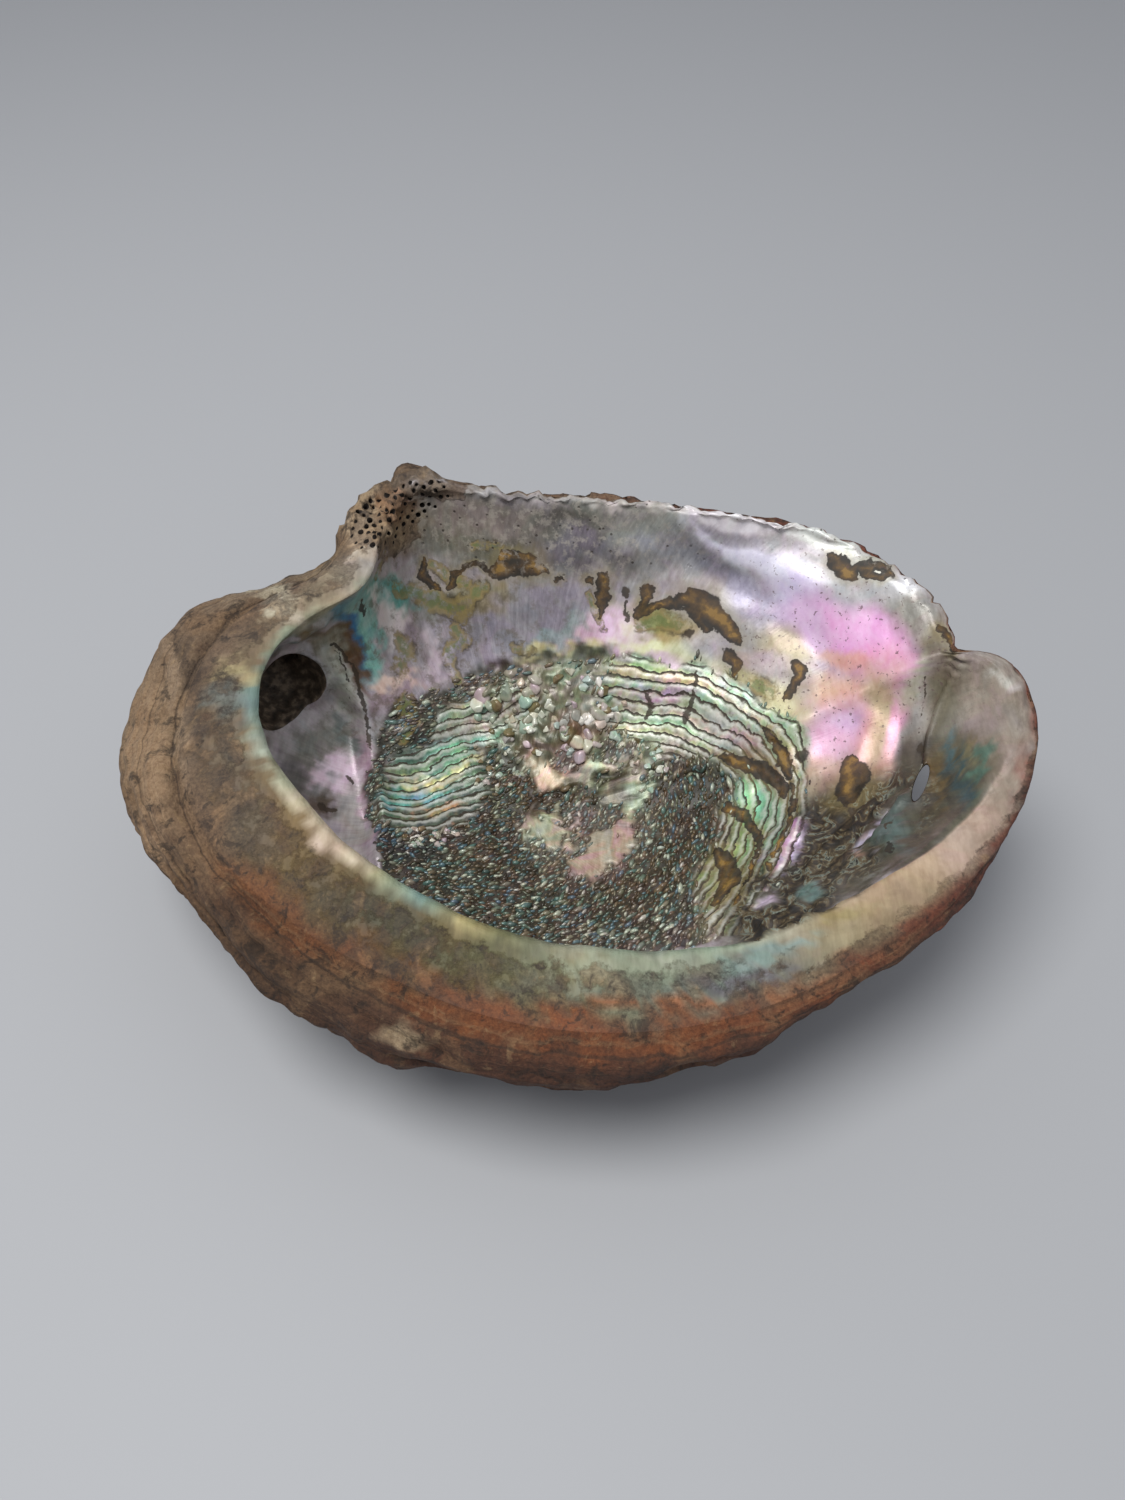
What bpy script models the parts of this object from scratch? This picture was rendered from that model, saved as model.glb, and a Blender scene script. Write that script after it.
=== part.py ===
"""A large red abalone shell lying open side up, as one solid.

The shell is a closed ball pressed into a bowl. The ball's upper half becomes the pearly inside, its waist the
rounded lip, and its lower half the rough back, whose growth lines all close on the spire at the back left.
Shape values are in millimetres, x to the right and y to the back across the mouth, z up out of it. The mouth is
then tilted so that the shell lies on the worn spot of its back, and everything is turned into metres.
"""

import math

import bmesh
import bpy
import numpy as np
from mathutils import Matrix, Vector, noise

# Driving dimensions
MM = 0.001
MOUTH_TILT = math.radians(8.5)
INSIDE_DEPTH = 50.0
OUTSIDE_DEPTH = 57.0
WORN_SPOT_DEPTH = 1.6
WORN_SPOT = (-16, 4)
MOUTH_CENTRE = (2.0, 10.0)
DEEPEST_INSIDE = (-9.0, 13.0)
DEEPEST_OUTSIDE = (-17.0, 16.0)
SPIRE_REACH = 0.62
SPIRE_ANGLE = math.radians(158)

# How many faces the ball has
AROUND = 104
INSIDE_RINGS = 25
LIP_RINGS = 2
GROWTH_LEDGES = 8
SPIRE_RINGS = 11
HALF_RINGS_INSIDE = 12
QUARTER_RINGS_INSIDE = 5
SLIVER = 0.1

# The outer edge of the mouth: right lobe, notch, long back edge, back left flange, left end, front edge
MOUTH_EDGE = [
    (103.5, 12), (101, 21), (96.3, 25.3), (91, 27.5), (91, 33), (88, 44), (80, 55), (64, 66.5), (45, 72), (20, 77),
    (-5, 79.5), (-24, 82), (-38, 83), (-49, 69), (-58, 54), (-72, 42), (-81, 27), (-84, 10), (-80, -8), (-71, -23),
    (-56, -37), (-34, -50), (-10, -59), (14, -61), (36, -57), (58, -47), (76, -35), (91, -20), (100, -5),
]

# Each of these gives a value at a few bearings, in degrees from the right end, counterclockwise from above
EDGE_HEIGHT = [(0, 1), (6, 2.5), (9, 2.5), (12, 0), (20, 0), (100, 0), (120, 1), (150, -1), (200, -2), (250, -3),
               (300, -3), (330, -1)]
LIP_WIDTH = [(0, 4), (30, 3), (100, 3.2), (122, 5), (140, 12), (165, 14), (185, 18.5), (200, 21), (218, 19),
             (245, 16.5), (275, 15.5), (302, 13), (325, 11.5), (345, 7.5)]
LIP_RISE = [(0, 0), (120, 0), (150, 1.5), (200, 3), (240, 3.5), (290, 3.5), (330, 1.5)]
INSIDE_STEEPNESS = [(0, 1.7), (100, 1.8), (125, 1.3), (160, 0.88), (215, 0.88), (250, 1), (300, 1.05), (340, 1.5)]
UNDERCUT = [(0, 0), (125, 0), (150, 4), (175, 10), (200, 15.5), (225, 14), (250, 11.5), (280, 9), (310, 5), (335, 2),
            (350, 0)]
OUTSIDE_STEEPNESS = [(0, 1.35), (50, 1.6), (110, 1.4), (140, 1.15), (180, 1.2), (230, 1.35), (290, 1.45),
                     (330, 1.35)]
BELLY = [(0, 3), (40, 0), (105, 0), (125, 4), (150, 10), (175, 11.5), (205, 11.5), (235, 13), (270, 13),
         (300, 11.5), (330, 7)]

# The muscle scar on the floor of the bowl, and the ridge that comes down from the spire hole
SCAR = [(-47, 14), (-45, 30), (-38, 39), (-24, 47), (5, 50), (36, 43), (57, 23), (56, 6), (51, -9), (36, -28),
        (8, -33), (-20, -25), (-40, -8)]
SCAR_LUMP = 1.1
SCAR_TERRACES = 5
TERRACE_DROP = 0.8
RIDGE = [(-63, 37), (-58, 41), (-51, 36), (-50, 29), (-48, 19), (-46, 8), (-45, -5)]
RIDGE_HEIGHT = 2.2
RIDGE_STEP = 2.6
PEARLS = [(-24, 42), (-14, 44), (-6, 38), (0, 43), (2, 35), (9, 31), (16, 30), (22, 25)]
PEARL_HEIGHT = 1.8
PEARL_RADIUS = 3.2

# The row of breathing holes: it runs from the notch down the right front wall. Hole radius 0 is a healed hole.
HOLE_ROW = [(91, 27), (87, 19), (83.5, 10), (81, 0), (70, -13), (56, -25), (38, -36), (16, -43)]
HOLES = [(81, 0, 3.2), (69, -14, 0), (55, -26, 0), (38, -37, 0), (19, -43, 0)]
LOBE_STEP = 3.0
TUBERCLE_HEIGHT = 3.0
TUBERCLE_RADIUS = 7.0

# The hollow of the spire: centre and radius of its widening tube, from its mouth in the left wall inward
SPIRE_HOLLOW = [(-57, 25, -18, 10.6), (-62, 30, -19.5, 10.6), (-67, 35, -20.5, 10.2), (-72, 40.5, -20.5, 8.6),
                (-71.5, 47, -20, 6.4), (-65, 50.5, -20, 4.4)]

# The spire on the back: its whorls widen twelvefold each turn, and the groove between them is the suture
WHORL_WIDENING = math.log(12)
SUTURE_START = (0.45, math.radians(115))
WHORL_BULGE = 34.0
SPIRE_RISE = 6.0
SPIRE_SPREAD = 0.2

# The back of the shell
LEDGE_HEIGHT = 1.5
LEDGE_SHARPNESS = 0.006
OLDEST_LEDGE = 0.36
KNOLL_HEIGHT = 1.8
KNOLL_SIZE = 22.0
SHOULDER_GROOVE = 2.0
BARNACLES = [(-33, -62, -19, 2.2, 5.0), (30, -66, -18, 1.4, 6.0), (-92, 20, -20, 1.6, 5.0)]

# The flange at the back left that a boring sponge has eaten into
SPONGE_BEARINGS = (117, 131)
SPONGE_CRUST = 3.0
SPONGE_PIT_RADIUS = 0.95
SPONGE_PIT_LENGTH = 5.2
SPONGE_PIT_SPACING = 3.5
SPONGE_PIT_SHARES = (0.76, 0.85, 0.94)


def around(table, bearing):
    """The value of a closed row of (bearing, value) pairs at any bearing in radians, on one smooth curve."""
    stops = np.radians([stop for stop, _ in table])
    values = np.array([value for _, value in table], float)
    turn = 2 * math.pi
    stops = np.concatenate([stops - turn, stops, stops + turn])
    values = np.tile(values, 3)
    slopes = np.gradient(values, stops)
    bearing = bearing % turn
    low = int(np.clip(np.searchsorted(stops, bearing, side="right") - 1, 0, len(stops) - 2))
    span = stops[low + 1] - stops[low]
    u = (bearing - stops[low]) / span
    rising = u * u * (3 - 2 * u)
    leaving = u * (1 - u) ** 2 * span * slopes[low]
    arriving = u * u * (u - 1) * span * slopes[low + 1]
    return values[low] * (1 - rising) + values[low + 1] * rising + leaving + arriving


def edge_table():
    """The mouth's edge as bearing and distance from the mouth's centre."""
    rows = []
    for x, y in MOUTH_EDGE:
        dx, dy = x - MOUTH_CENTRE[0], y - MOUTH_CENTRE[1]
        rows.append((math.degrees(math.atan2(dy, dx)) % 360, math.hypot(dx, dy)))
    return sorted(rows)


EDGE = edge_table()


def bulge(u, rise, fall):
    """A hump over 0 to 1 whose top is 1, steep where its power is low."""
    top = rise / (rise + fall)
    return (u / top) ** rise * ((1 - u) / (1 - top)) ** fall


def bowl_point(share, bearing, radius, low_place, edge_height, depth, steepness, swell):
    """A point of a bowl: share runs from 0 at its deepest point to 1 at its edge."""
    turn = share * math.pi / 2
    sink = max(math.cos(turn), 0.0) ** steepness
    reach = radius * math.sin(turn) + swell
    settle = share * share
    x = low_place[0] + (MOUTH_CENTRE[0] - low_place[0]) * settle + reach * math.cos(bearing)
    y = low_place[1] + (MOUTH_CENTRE[1] - low_place[1]) * settle + reach * math.sin(bearing)
    return Vector((x, y, edge_height - (depth + edge_height) * sink))


def inside_point(share, bearing):
    """A point of the pearly inside, whose edge is the inner crest of the lip."""
    crest = around(EDGE, bearing) - around(LIP_WIDTH, bearing)
    height = around(EDGE_HEIGHT, bearing) + around(LIP_RISE, bearing)
    swell = around(UNDERCUT, bearing) * bulge(1 - share, 1.0, 2.6)
    steepness = around(INSIDE_STEEPNESS, bearing)
    return bowl_point(share, bearing, crest, DEEPEST_INSIDE, height, INSIDE_DEPTH, steepness, swell)


def back_point(growth, bearing):
    """A point of the back: growth is 1 on the newest line, at the mouth's edge, and 0 at the spire's tip."""
    east = SPIRE_REACH * math.cos(SPIRE_ANGLE) * (1 - growth) + growth * math.cos(bearing)
    north = SPIRE_REACH * math.sin(SPIRE_ANGLE) * (1 - growth) + growth * math.sin(bearing)
    share, bearing = min(math.hypot(east, north), 1.0), math.atan2(north, east)
    swell = around(BELLY, bearing) * bulge(1 - share, 0.8, 1.9)
    steepness = around(OUTSIDE_STEEPNESS, bearing)
    height = around(EDGE_HEIGHT, bearing)
    return bowl_point(share, bearing, around(EDGE, bearing), DEEPEST_OUTSIDE, height, OUTSIDE_DEPTH, steepness, swell)


def lip_point(share, bearing):
    """A point across the rounded lip, from its inner crest at 0 to the mouth's edge at 1."""
    crest, edge = inside_point(1.0, bearing), back_point(1.0, bearing)
    crown = 0.08 * (edge - crest).length * math.sin(math.pi * share)
    return crest.lerp(edge, share) + Vector((0, 0, crown))


def rings():
    """What each ring of the ball becomes: a part of the shell, how far along it the ring lies, and its sawtooth."""
    made = [("inside", (step + 1) / INSIDE_RINGS, 0.0) for step in range(INSIDE_RINGS)]
    made += [("lip", (step + 1) / (LIP_RINGS + 1), 0.0) for step in range(LIP_RINGS)]
    made.append(("back", 1.0, 0.0))
    for ledge in range(GROWTH_LEDGES):
        line = 0.965 - (0.965 - OLDEST_LEDGE) * (ledge / (GROWTH_LEDGES - 1)) ** 1.1
        made += [("back", line + LEDGE_SHARPNESS, -0.35), ("back", line - LEDGE_SHARPNESS, 1.0)]
    made += [("back", OLDEST_LEDGE * (1 - (step + 1) / (SPIRE_RINGS + 1)), 0.0) for step in range(SPIRE_RINGS)]
    return made


def distance_to_line(x, y, line):
    """How far a place is from a line of points, seen from above, and on which side: left of its way is positive."""
    place = Vector((x, y))
    nearest, side = math.inf, 1.0
    for start, end in zip(line, line[1:]):
        start, end = Vector(start), Vector(end)
        way = end - start
        along = min(max((place - start).dot(way) / way.length_squared, 0.0), 1.0)
        gap = place - start - way * along
        if gap.length < nearest:
            nearest = gap.length
            side = math.copysign(1.0, way.cross(place - start))
    return nearest, side


def within_scar(x, y):
    """How deep a place is inside the scar, in millimetres: negative outside it."""
    distance, _ = distance_to_line(x, y, SCAR + SCAR[:1])
    crossings = 0
    for (x0, y0), (x1, y1) in zip(SCAR, SCAR[1:] + SCAR[:1]):
        if (y0 > y) != (y1 > y) and x < x0 + (y - y0) / (y1 - y0) * (x1 - x0):
            crossings += 1
    return distance if crossings % 2 else -distance


def fade(value, start, end):
    """0 at start, 1 at end, smooth between."""
    u = min(max((value - start) / (end - start), 0.0), 1.0)
    return u * u * (3 - 2 * u)


def lumps(point, size, offset=0.0):
    """Soft noise between about -1 and 1 whose lumps are about this size."""
    return noise.noise(point / size + Vector((offset, offset * 0.7, offset * 1.3))) * 1.8


def inside_relief(point, share, bearing):
    """How far the inside stands proud of the smooth bowl."""
    x, y = point.x, point.y
    relief = 0.5 * lumps(point, 30, 3)
    depth = within_scar(x, y)
    relief += 0.9 * fade(depth, -3, 1) * (1 - fade(depth, 2, 9))
    relief += SCAR_LUMP * fade(depth, 0, 5) * lumps(point, 5, 11)
    terrace = fade(y + 0.35 * x, 26, 34) * fade(depth, -1, 1)
    step = (depth / 14 * SCAR_TERRACES) % 1.0
    relief += TERRACE_DROP * terrace * (step - 0.5) * (1 - fade(depth, 12, 15))
    for px, py in PEARLS:
        relief += PEARL_HEIGHT * math.exp(-((x - px) ** 2 + (y - py) ** 2) / PEARL_RADIUS ** 2)
    away, side = distance_to_line(x, y, RIDGE)
    reach = 1 - fade(-y, 4, 14)
    relief += RIDGE_HEIGHT * math.exp(-(away / 2.6) ** 2) * reach
    relief -= RIDGE_STEP * (1 - fade(away, 8, 20)) * reach * fade(-side * away, 0, 4) * fade(1 - share, 0, 0.3)
    away, side = distance_to_line(x, y, HOLE_ROW)
    on_lobe = fade(side * away, -0.8, 1.2)
    wane = fade(x, 15, 60)
    relief += LOBE_STEP * on_lobe * math.exp(-away / 9) * wane * (1 - fade(share, 0.93, 1.0))
    relief -= 1.4 * (1 - on_lobe) * math.exp(-away / 6) * wane * (1 - fade(share, 0.93, 1.0))
    folds = math.sin(math.degrees(bearing) / 6.5 + 4 * share) * fade(math.degrees(bearing), 8, 25)
    folds *= 1 - fade(math.degrees(bearing), 60, 85)
    relief += 0.9 * folds * fade(share, 0.45, 0.65) * (1 - fade(share, 0.9, 1.0))
    return relief


def from_spire(growth, bearing):
    """Distance and direction from the spire's tip, as shares of the mouth laid flat."""
    east = growth * (math.cos(bearing) - SPIRE_REACH * math.cos(SPIRE_ANGLE))
    north = growth * (math.sin(bearing) - SPIRE_REACH * math.sin(SPIRE_ANGLE))
    return math.hypot(east, north), math.atan2(north, east)


def whorls(growth, bearing):
    """The rounded whorls of the spire and the suture between them, on a spiral that closes clockwise."""
    distance, direction = from_spire(growth, bearing)
    turned = (SUTURE_START[1] - direction) % (2 * math.pi) / (2 * math.pi)
    outward = math.log(max(distance, 0.004) / SUTURE_START[0]) / WHORL_WIDENING + turned
    across = outward % 1.0
    hump = math.sin(math.pi * across) ** 0.7 - 0.5
    rise = SPIRE_RISE * math.exp(-(distance / SPIRE_SPREAD) ** 2)
    return rise + WHORL_BULGE * distance * hump * (1 - fade(distance, 0.25, 0.5))


def back_relief(point, growth, sawtooth, bearing, hole_mouths):
    """How far the back stands proud of its smooth form: ledges, knolls, whorls, tubercles and barnacles."""
    room = fade(from_spire(1.0, bearing)[0], 0.25, 0.95)
    edge = 1 - fade(growth, 0.93, 1.0)
    relief = LEDGE_HEIGHT * sawtooth * room * (0.7 + 0.6 * lumps(point, 26, 5))
    relief += KNOLL_HEIGHT * lumps(point, KNOLL_SIZE, 1) * edge * fade(growth, 0.1, 0.35)
    relief += 0.5 * lumps(point, 7, 9) * edge
    degrees = math.degrees(bearing) % 360
    left = fade(degrees, 135, 155) * (1 - fade(degrees, 225, 260))
    relief -= SHOULDER_GROOVE * left * math.exp(-((growth - 0.972) / 0.016) ** 2)
    relief += whorls(growth, bearing)
    for mouth in hole_mouths:
        relief += TUBERCLE_HEIGHT * math.exp(-((point - mouth).length / TUBERCLE_RADIUS) ** 2)
    for x, y, z, height, radius in BARNACLES:
        relief += height * math.exp(-((point - Vector((x, y, z))).length / radius) ** 2)
    worn = 1 - fade((point.xy - Vector(WORN_SPOT)).length, 14, 40)
    return relief * (1 - 0.8 * worn)


def floor_place(x, y):
    """The share, bearing and point of the inside below a place given from above."""
    share, bearing = 0.5, math.atan2(y - MOUTH_CENTRE[1], x - MOUTH_CENTRE[0])
    for _ in range(30):
        point = inside_point(share, bearing)
        aim = Vector((x, y)) - point.xy
        outward = Vector((math.cos(bearing), math.sin(bearing)))
        share = min(max(share + aim.dot(outward) / 95, 0.02), 0.99)
        bearing += aim.dot(outward.orthogonal()) / max(95 * share, 12)
    return share, bearing, inside_point(share, bearing)


def wall_direction(share, bearing):
    """Outward through the wall, square to the inside."""
    step = 0.01
    here = inside_point(share, bearing)
    up = inside_point(share + step, bearing) - here
    along = inside_point(share, bearing + step) - here
    return up.cross(along).normalized()


def outside_of_hole(x, y):
    """Where a breathing hole at this place comes out of the back."""
    share, bearing, point = floor_place(x, y)
    return point + wall_direction(share, bearing) * (OUTSIDE_DEPTH - INSIDE_DEPTH)


def to_world(point):
    """Tilts the mouth and turns millimetres into metres."""
    return (Matrix.Rotation(MOUTH_TILT, 3, "X") @ point) * MM


def shell_body():
    """The ball pressed into the bowl, with its relief, still in the mouth's own frame."""
    plan = [("inside", 0.0, 0.0)] + rings() + [("back", 0.0, 0.0)]
    makers = {"inside": inside_point, "lip": lip_point, "back": back_point}
    body = bmesh.new()
    bmesh.ops.create_uvsphere(body, u_segments=AROUND, v_segments=len(plan) - 1, radius=1.0)
    ring_of, bearing_of = {}, {}
    for vert in body.verts:
        ring_of[vert] = round(math.acos(max(-1.0, min(1.0, vert.co.z))) / math.pi * (len(plan) - 1))
        bearing_of[vert] = math.atan2(vert.co.y, vert.co.x)
        kind, along, _ = plan[ring_of[vert]]
        vert.co = makers[kind](along, bearing_of[vert])
    body.normal_update()

    hole_mouths = [outside_of_hole(x, y) for x, y, _ in HOLES]
    moves = {}
    for vert in body.verts:
        kind, along, sawtooth = plan[ring_of[vert]]
        bearing = bearing_of[vert]
        degrees = math.degrees(bearing) % 360
        crust = fade(degrees, SPONGE_BEARINGS[0] - 5, SPONGE_BEARINGS[0])
        crust *= 1 - fade(degrees, SPONGE_BEARINGS[1], SPONGE_BEARINGS[1] + 5)
        if kind == "inside":
            relief = inside_relief(vert.co, along, bearing) * (1 - fade(along, 0.94, 1.0))
        elif kind == "lip":
            relief = 0.35 * lumps(vert.co, 9, 2) + 0.4 * SPONGE_CRUST * crust
        else:
            relief = back_relief(vert.co, along, sawtooth, bearing, hole_mouths)
            relief += SPONGE_CRUST * crust * fade(along, 0.75, 0.93)
        moves[vert] = vert.normal * relief
    for vert, move in moves.items():
        vert.co += move

    spokes = []
    last = len(plan) - 1
    for edge in body.edges:
        first, second = edge.verts
        column = round(bearing_of[first if 0 < ring_of[first] < last else second] / (2 * math.pi) * AROUND)
        ring = max(ring_of[first], ring_of[second])
        halved = ring <= HALF_RINGS_INSIDE or ring > last - SPIRE_RINGS
        quartered = ring <= QUARTER_RINGS_INSIDE
        if ring_of[first] != ring_of[second] and (halved and column % 2 or quartered and column % 4):
            spokes.append(edge)
    bmesh.ops.dissolve_edges(body, edges=spokes, use_verts=True)
    bmesh.ops.triangulate(body, faces=body.faces, quad_method="SHORT_EDGE")
    return body


def tube(points):
    """A closed widening tube through centres with radii, as a mesh of loops bridged one to the next."""
    made = bmesh.new()
    loops = []
    for number, (x, y, z, radius) in enumerate(points):
        before = Vector(points[max(number - 1, 0)][:3])
        after = Vector(points[min(number + 1, len(points) - 1)][:3])
        turn = (after - before).to_track_quat("Z", "Y").to_matrix().to_4x4()
        place = Matrix.Translation(to_world(Vector((x, y, z)))) @ (
            Matrix.Rotation(MOUTH_TILT, 4, "X") @ turn)
        ends = number in (0, len(points) - 1)
        ring = bmesh.ops.create_circle(made, cap_ends=ends, radius=radius * MM, segments=20, matrix=place)
        loops.append(ring["verts"])
    for first, second in zip(loops, loops[1:]):
        edges = [edge for edge in made.edges
                 if all(v in first for v in edge.verts) or all(v in second for v in edge.verts)]
        bmesh.ops.bridge_loops(made, edges=edges)
    bmesh.ops.recalc_face_normals(made, faces=made.faces)
    return made


def peg(made, point, way, radius, depth, sides):
    """Adds one short peg to a cutter, centred on a point and lying along a way."""
    turn = way.to_track_quat("Z", "Y").to_matrix().to_4x4()
    place = Matrix.Translation(to_world(point)) @ Matrix.Rotation(MOUTH_TILT, 4, "X") @ turn
    bmesh.ops.create_cone(made, cap_ends=True, segments=sides, radius1=radius * MM, radius2=radius * MM,
                          depth=depth * MM, matrix=place)


def hole_pegs():
    """One peg through the wall for each breathing hole that is still open."""
    made = bmesh.new()
    for x, y, radius in HOLES:
        if radius:
            share, bearing, point = floor_place(x, y)
            peg(made, point, wall_direction(share, bearing), radius, 40, 14)
    return made


def sponge_pegs():
    """Pegs for the borings that pit the flange: rows of them down the inside."""
    made = bmesh.new()
    first, last = (math.radians(bearing) for bearing in SPONGE_BEARINGS)
    for row, share in enumerate(SPONGE_PIT_SHARES):
        bearing = first + row % 2 * 0.5 * SPONGE_PIT_SPACING / around(EDGE, first)
        while bearing < last:
            way = wall_direction(share, bearing)
            peg(made, inside_point(share, bearing), way, SPONGE_PIT_RADIUS, SPONGE_PIT_LENGTH, 6)
            bearing += SPONGE_PIT_SPACING / around(EDGE, bearing)
    return made


def to_object(made, name, cutter=False):
    """Turns a bmesh into an object of the scene. A cutter is only drawn as wires."""
    mesh = bpy.data.meshes.new(name)
    made.to_mesh(mesh)
    made.free()
    thing = bpy.data.objects.new(name, mesh)
    bpy.context.scene.collection.objects.link(thing)
    if cutter:
        thing.hide_render = True
        thing.display_type = "WIRE"
    return thing


def cut(thing, cutter, solver):
    """Takes the cutter's space out of the thing. The crowded borings need the solver for closed meshes."""
    boolean = thing.modifiers.new(cutter.name, "BOOLEAN")
    boolean.operation = "DIFFERENCE"
    boolean.solver = solver
    boolean.object = cutter


def trim(thing):
    """Applies the cuts, then dissolves the slivers that they leave and turns the long edge of each needle."""
    made = bmesh.new()
    made.from_object(thing, bpy.context.evaluated_depsgraph_get())
    bmesh.ops.triangulate(made, faces=made.faces)
    bmesh.ops.dissolve_degenerate(made, edges=made.edges, dist=SLIVER * MM)
    bmesh.ops.triangulate(made, faces=made.faces)
    needles = set()
    for face in made.faces:
        longest = max(face.edges, key=lambda edge: edge.calc_length())
        if 2 * face.calc_area() < SLIVER * MM * longest.calc_length():
            needles.add(longest)
    bmesh.ops.rotate_edges(made, edges=list(needles), use_ccw=True)
    thing.modifiers.clear()
    made.to_mesh(thing.data)
    made.free()


def shell_finish():
    """Dull brown and grey, the mean of the crusted back and the pearly inside."""
    finish = bpy.data.materials.new("abalone_shell")
    finish.use_nodes = True
    shader = finish.node_tree.nodes["Principled BSDF"]
    shader.inputs["Base Color"].default_value = (0.42, 0.38, 0.33, 1)
    shader.inputs["Roughness"].default_value = 0.45
    shader.inputs["Metallic"].default_value = 0.1
    return finish


def main():
    for thing in list(bpy.data.objects):
        bpy.data.objects.remove(thing)

    body = shell_body()
    for vert in body.verts:
        vert.co = to_world(vert.co)
    worn = min(vert.co.z for vert in body.verts) + WORN_SPOT_DEPTH * MM
    for vert in body.verts:
        vert.co.z = max(vert.co.z, worn)
    cutters = [
        ("spire_hollow", tube(SPIRE_HOLLOW), "EXACT"),
        ("breathing_holes", hole_pegs(), "EXACT"),
        ("borings", sponge_pegs(), "MANIFOLD"),
    ]
    low = Vector([min(vert.co[axis] for vert in body.verts) for axis in range(3)])
    high = Vector([max(vert.co[axis] for vert in body.verts) for axis in range(3)])
    stand = Vector(((low.x + high.x) / 2, (low.y + high.y) / 2, low.z))
    for made in [body] + [made for _, made, _ in cutters]:
        bmesh.ops.translate(made, verts=made.verts, vec=-stand)

    shell = to_object(body, "shell")
    shell.data.materials.append(shell_finish())
    shell.data.shade_smooth()
    for name, made, solver in cutters:
        cut(shell, to_object(made, name, cutter=True), solver)
    trim(shell)


main()
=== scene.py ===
# %% [markdown]
# # A red abalone shell
#
# The shell lies open side up. The packed solid gives its form and size; this script gives it the finish of
# the real one: mother of pearl inside, a scar of layered plates and grains where the muscle held on,
# stains, borings and a crusted brown back. Everything starts from the packed frame, because each piece has
# to sit where the solid is.

# %% Frame
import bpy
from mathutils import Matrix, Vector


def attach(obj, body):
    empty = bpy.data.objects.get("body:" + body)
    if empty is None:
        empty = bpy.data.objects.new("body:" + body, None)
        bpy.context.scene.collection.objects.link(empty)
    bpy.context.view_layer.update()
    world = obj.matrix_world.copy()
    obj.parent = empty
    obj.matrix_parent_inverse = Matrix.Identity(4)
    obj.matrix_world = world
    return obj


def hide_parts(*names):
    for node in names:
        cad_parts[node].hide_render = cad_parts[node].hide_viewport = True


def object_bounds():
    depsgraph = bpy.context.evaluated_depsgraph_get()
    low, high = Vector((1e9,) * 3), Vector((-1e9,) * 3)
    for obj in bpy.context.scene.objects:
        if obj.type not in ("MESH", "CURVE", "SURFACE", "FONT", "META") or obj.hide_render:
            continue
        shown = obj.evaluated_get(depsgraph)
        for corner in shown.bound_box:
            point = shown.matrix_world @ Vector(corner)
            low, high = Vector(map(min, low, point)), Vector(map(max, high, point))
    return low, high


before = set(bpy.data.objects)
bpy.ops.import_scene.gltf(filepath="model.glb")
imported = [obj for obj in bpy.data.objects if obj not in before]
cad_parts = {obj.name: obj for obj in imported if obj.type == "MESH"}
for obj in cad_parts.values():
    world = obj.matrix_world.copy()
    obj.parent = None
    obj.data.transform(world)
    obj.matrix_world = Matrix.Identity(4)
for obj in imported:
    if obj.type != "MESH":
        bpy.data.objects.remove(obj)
cad_box = [list(corner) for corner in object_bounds()]
print("solid box in metres", cad_box)

# %% [markdown]
# The places and colours are worked out with numpy, because there are a hundred thousand of them, and the mesh
# is made with bmesh. Two facts about how the shell was placed are kept from the solid: how far its mouth is
# tilted, and the shift that sets it down on the floor.

# %% Tools and placing
import math

import bmesh
import bpy
import numpy as np
from mathutils import Matrix, Vector, noise
from mathutils.bvhtree import BVHTree
from mathutils.kdtree import KDTree

MM = 0.001
FULL_TURN = 2 * math.pi
MOUTH_TILT = math.radians(8.5)
STAND = np.array((0.503, 9.246, -53.420))
print("mouth tilted by", round(math.degrees(MOUTH_TILT), 1), "degrees")

# %% [markdown]
# ## How the photo looks at the shell
#
# Shape values are in millimetres in the mouth's own frame: x to the right, y to the back, z up out of the
# mouth. The mouth is tilted and set down on the floor to get the frame's metres. The camera stands 235 mm
# from the mouth's centre and looks down at 48 degrees. Knowing where each point of the shell falls in the
# photo lets every stain be named by the place where it is seen, and still lie on the surface itself.

# %% Places and camera
PHOTO = (1125, 1500)
FOCAL_PIXELS = 1100.0
SENSOR_WIDTH, NEAREST_SEEN = 36, 0.01
CAMERA_DISTANCE = 235.0
CAMERA_ELEVATION = math.radians(48)
TILT = np.array(Matrix.Rotation(MOUTH_TILT, 3, "X"))
AHEAD = np.array((0, math.cos(CAMERA_ELEVATION), -math.sin(CAMERA_ELEVATION)))
UPWARD = np.array((0, math.sin(CAMERA_ELEVATION), math.cos(CAMERA_ELEVATION)))
EYE = -AHEAD * CAMERA_DISTANCE


def in_frame(points):
    """Mouth millimetres to the frame's metres."""
    return (points @ TILT.T - STAND) * MM


def in_mouth(points):
    """The frame's metres to mouth millimetres."""
    return (points / MM + STAND) @ TILT


def in_photo(points):
    """Where mouth points are seen in the photo, in its pixels."""
    away = points @ TILT.T - EYE
    depth = away @ AHEAD
    u = PHOTO[0] / 2 + FOCAL_PIXELS * away[:, 0] / depth
    v = PHOTO[1] / 2 - FOCAL_PIXELS * (away @ UPWARD) / depth
    return u, v


def sight_line(u, v):
    """The camera's place and the direction of a photo pixel, in the frame's metres."""
    right, down = (u - PHOTO[0] / 2) / FOCAL_PIXELS, (v - PHOTO[1] / 2) / FOCAL_PIXELS
    way = AHEAD + np.array((right, 0, 0)) - UPWARD * down
    return Vector((EYE - STAND) * MM), Vector(way).normalized()


def in_scene(name, data):
    """A new object of the scene that shows this data."""
    thing = bpy.data.objects.new(name, data)
    bpy.context.scene.collection.objects.link(thing)
    return thing


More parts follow.
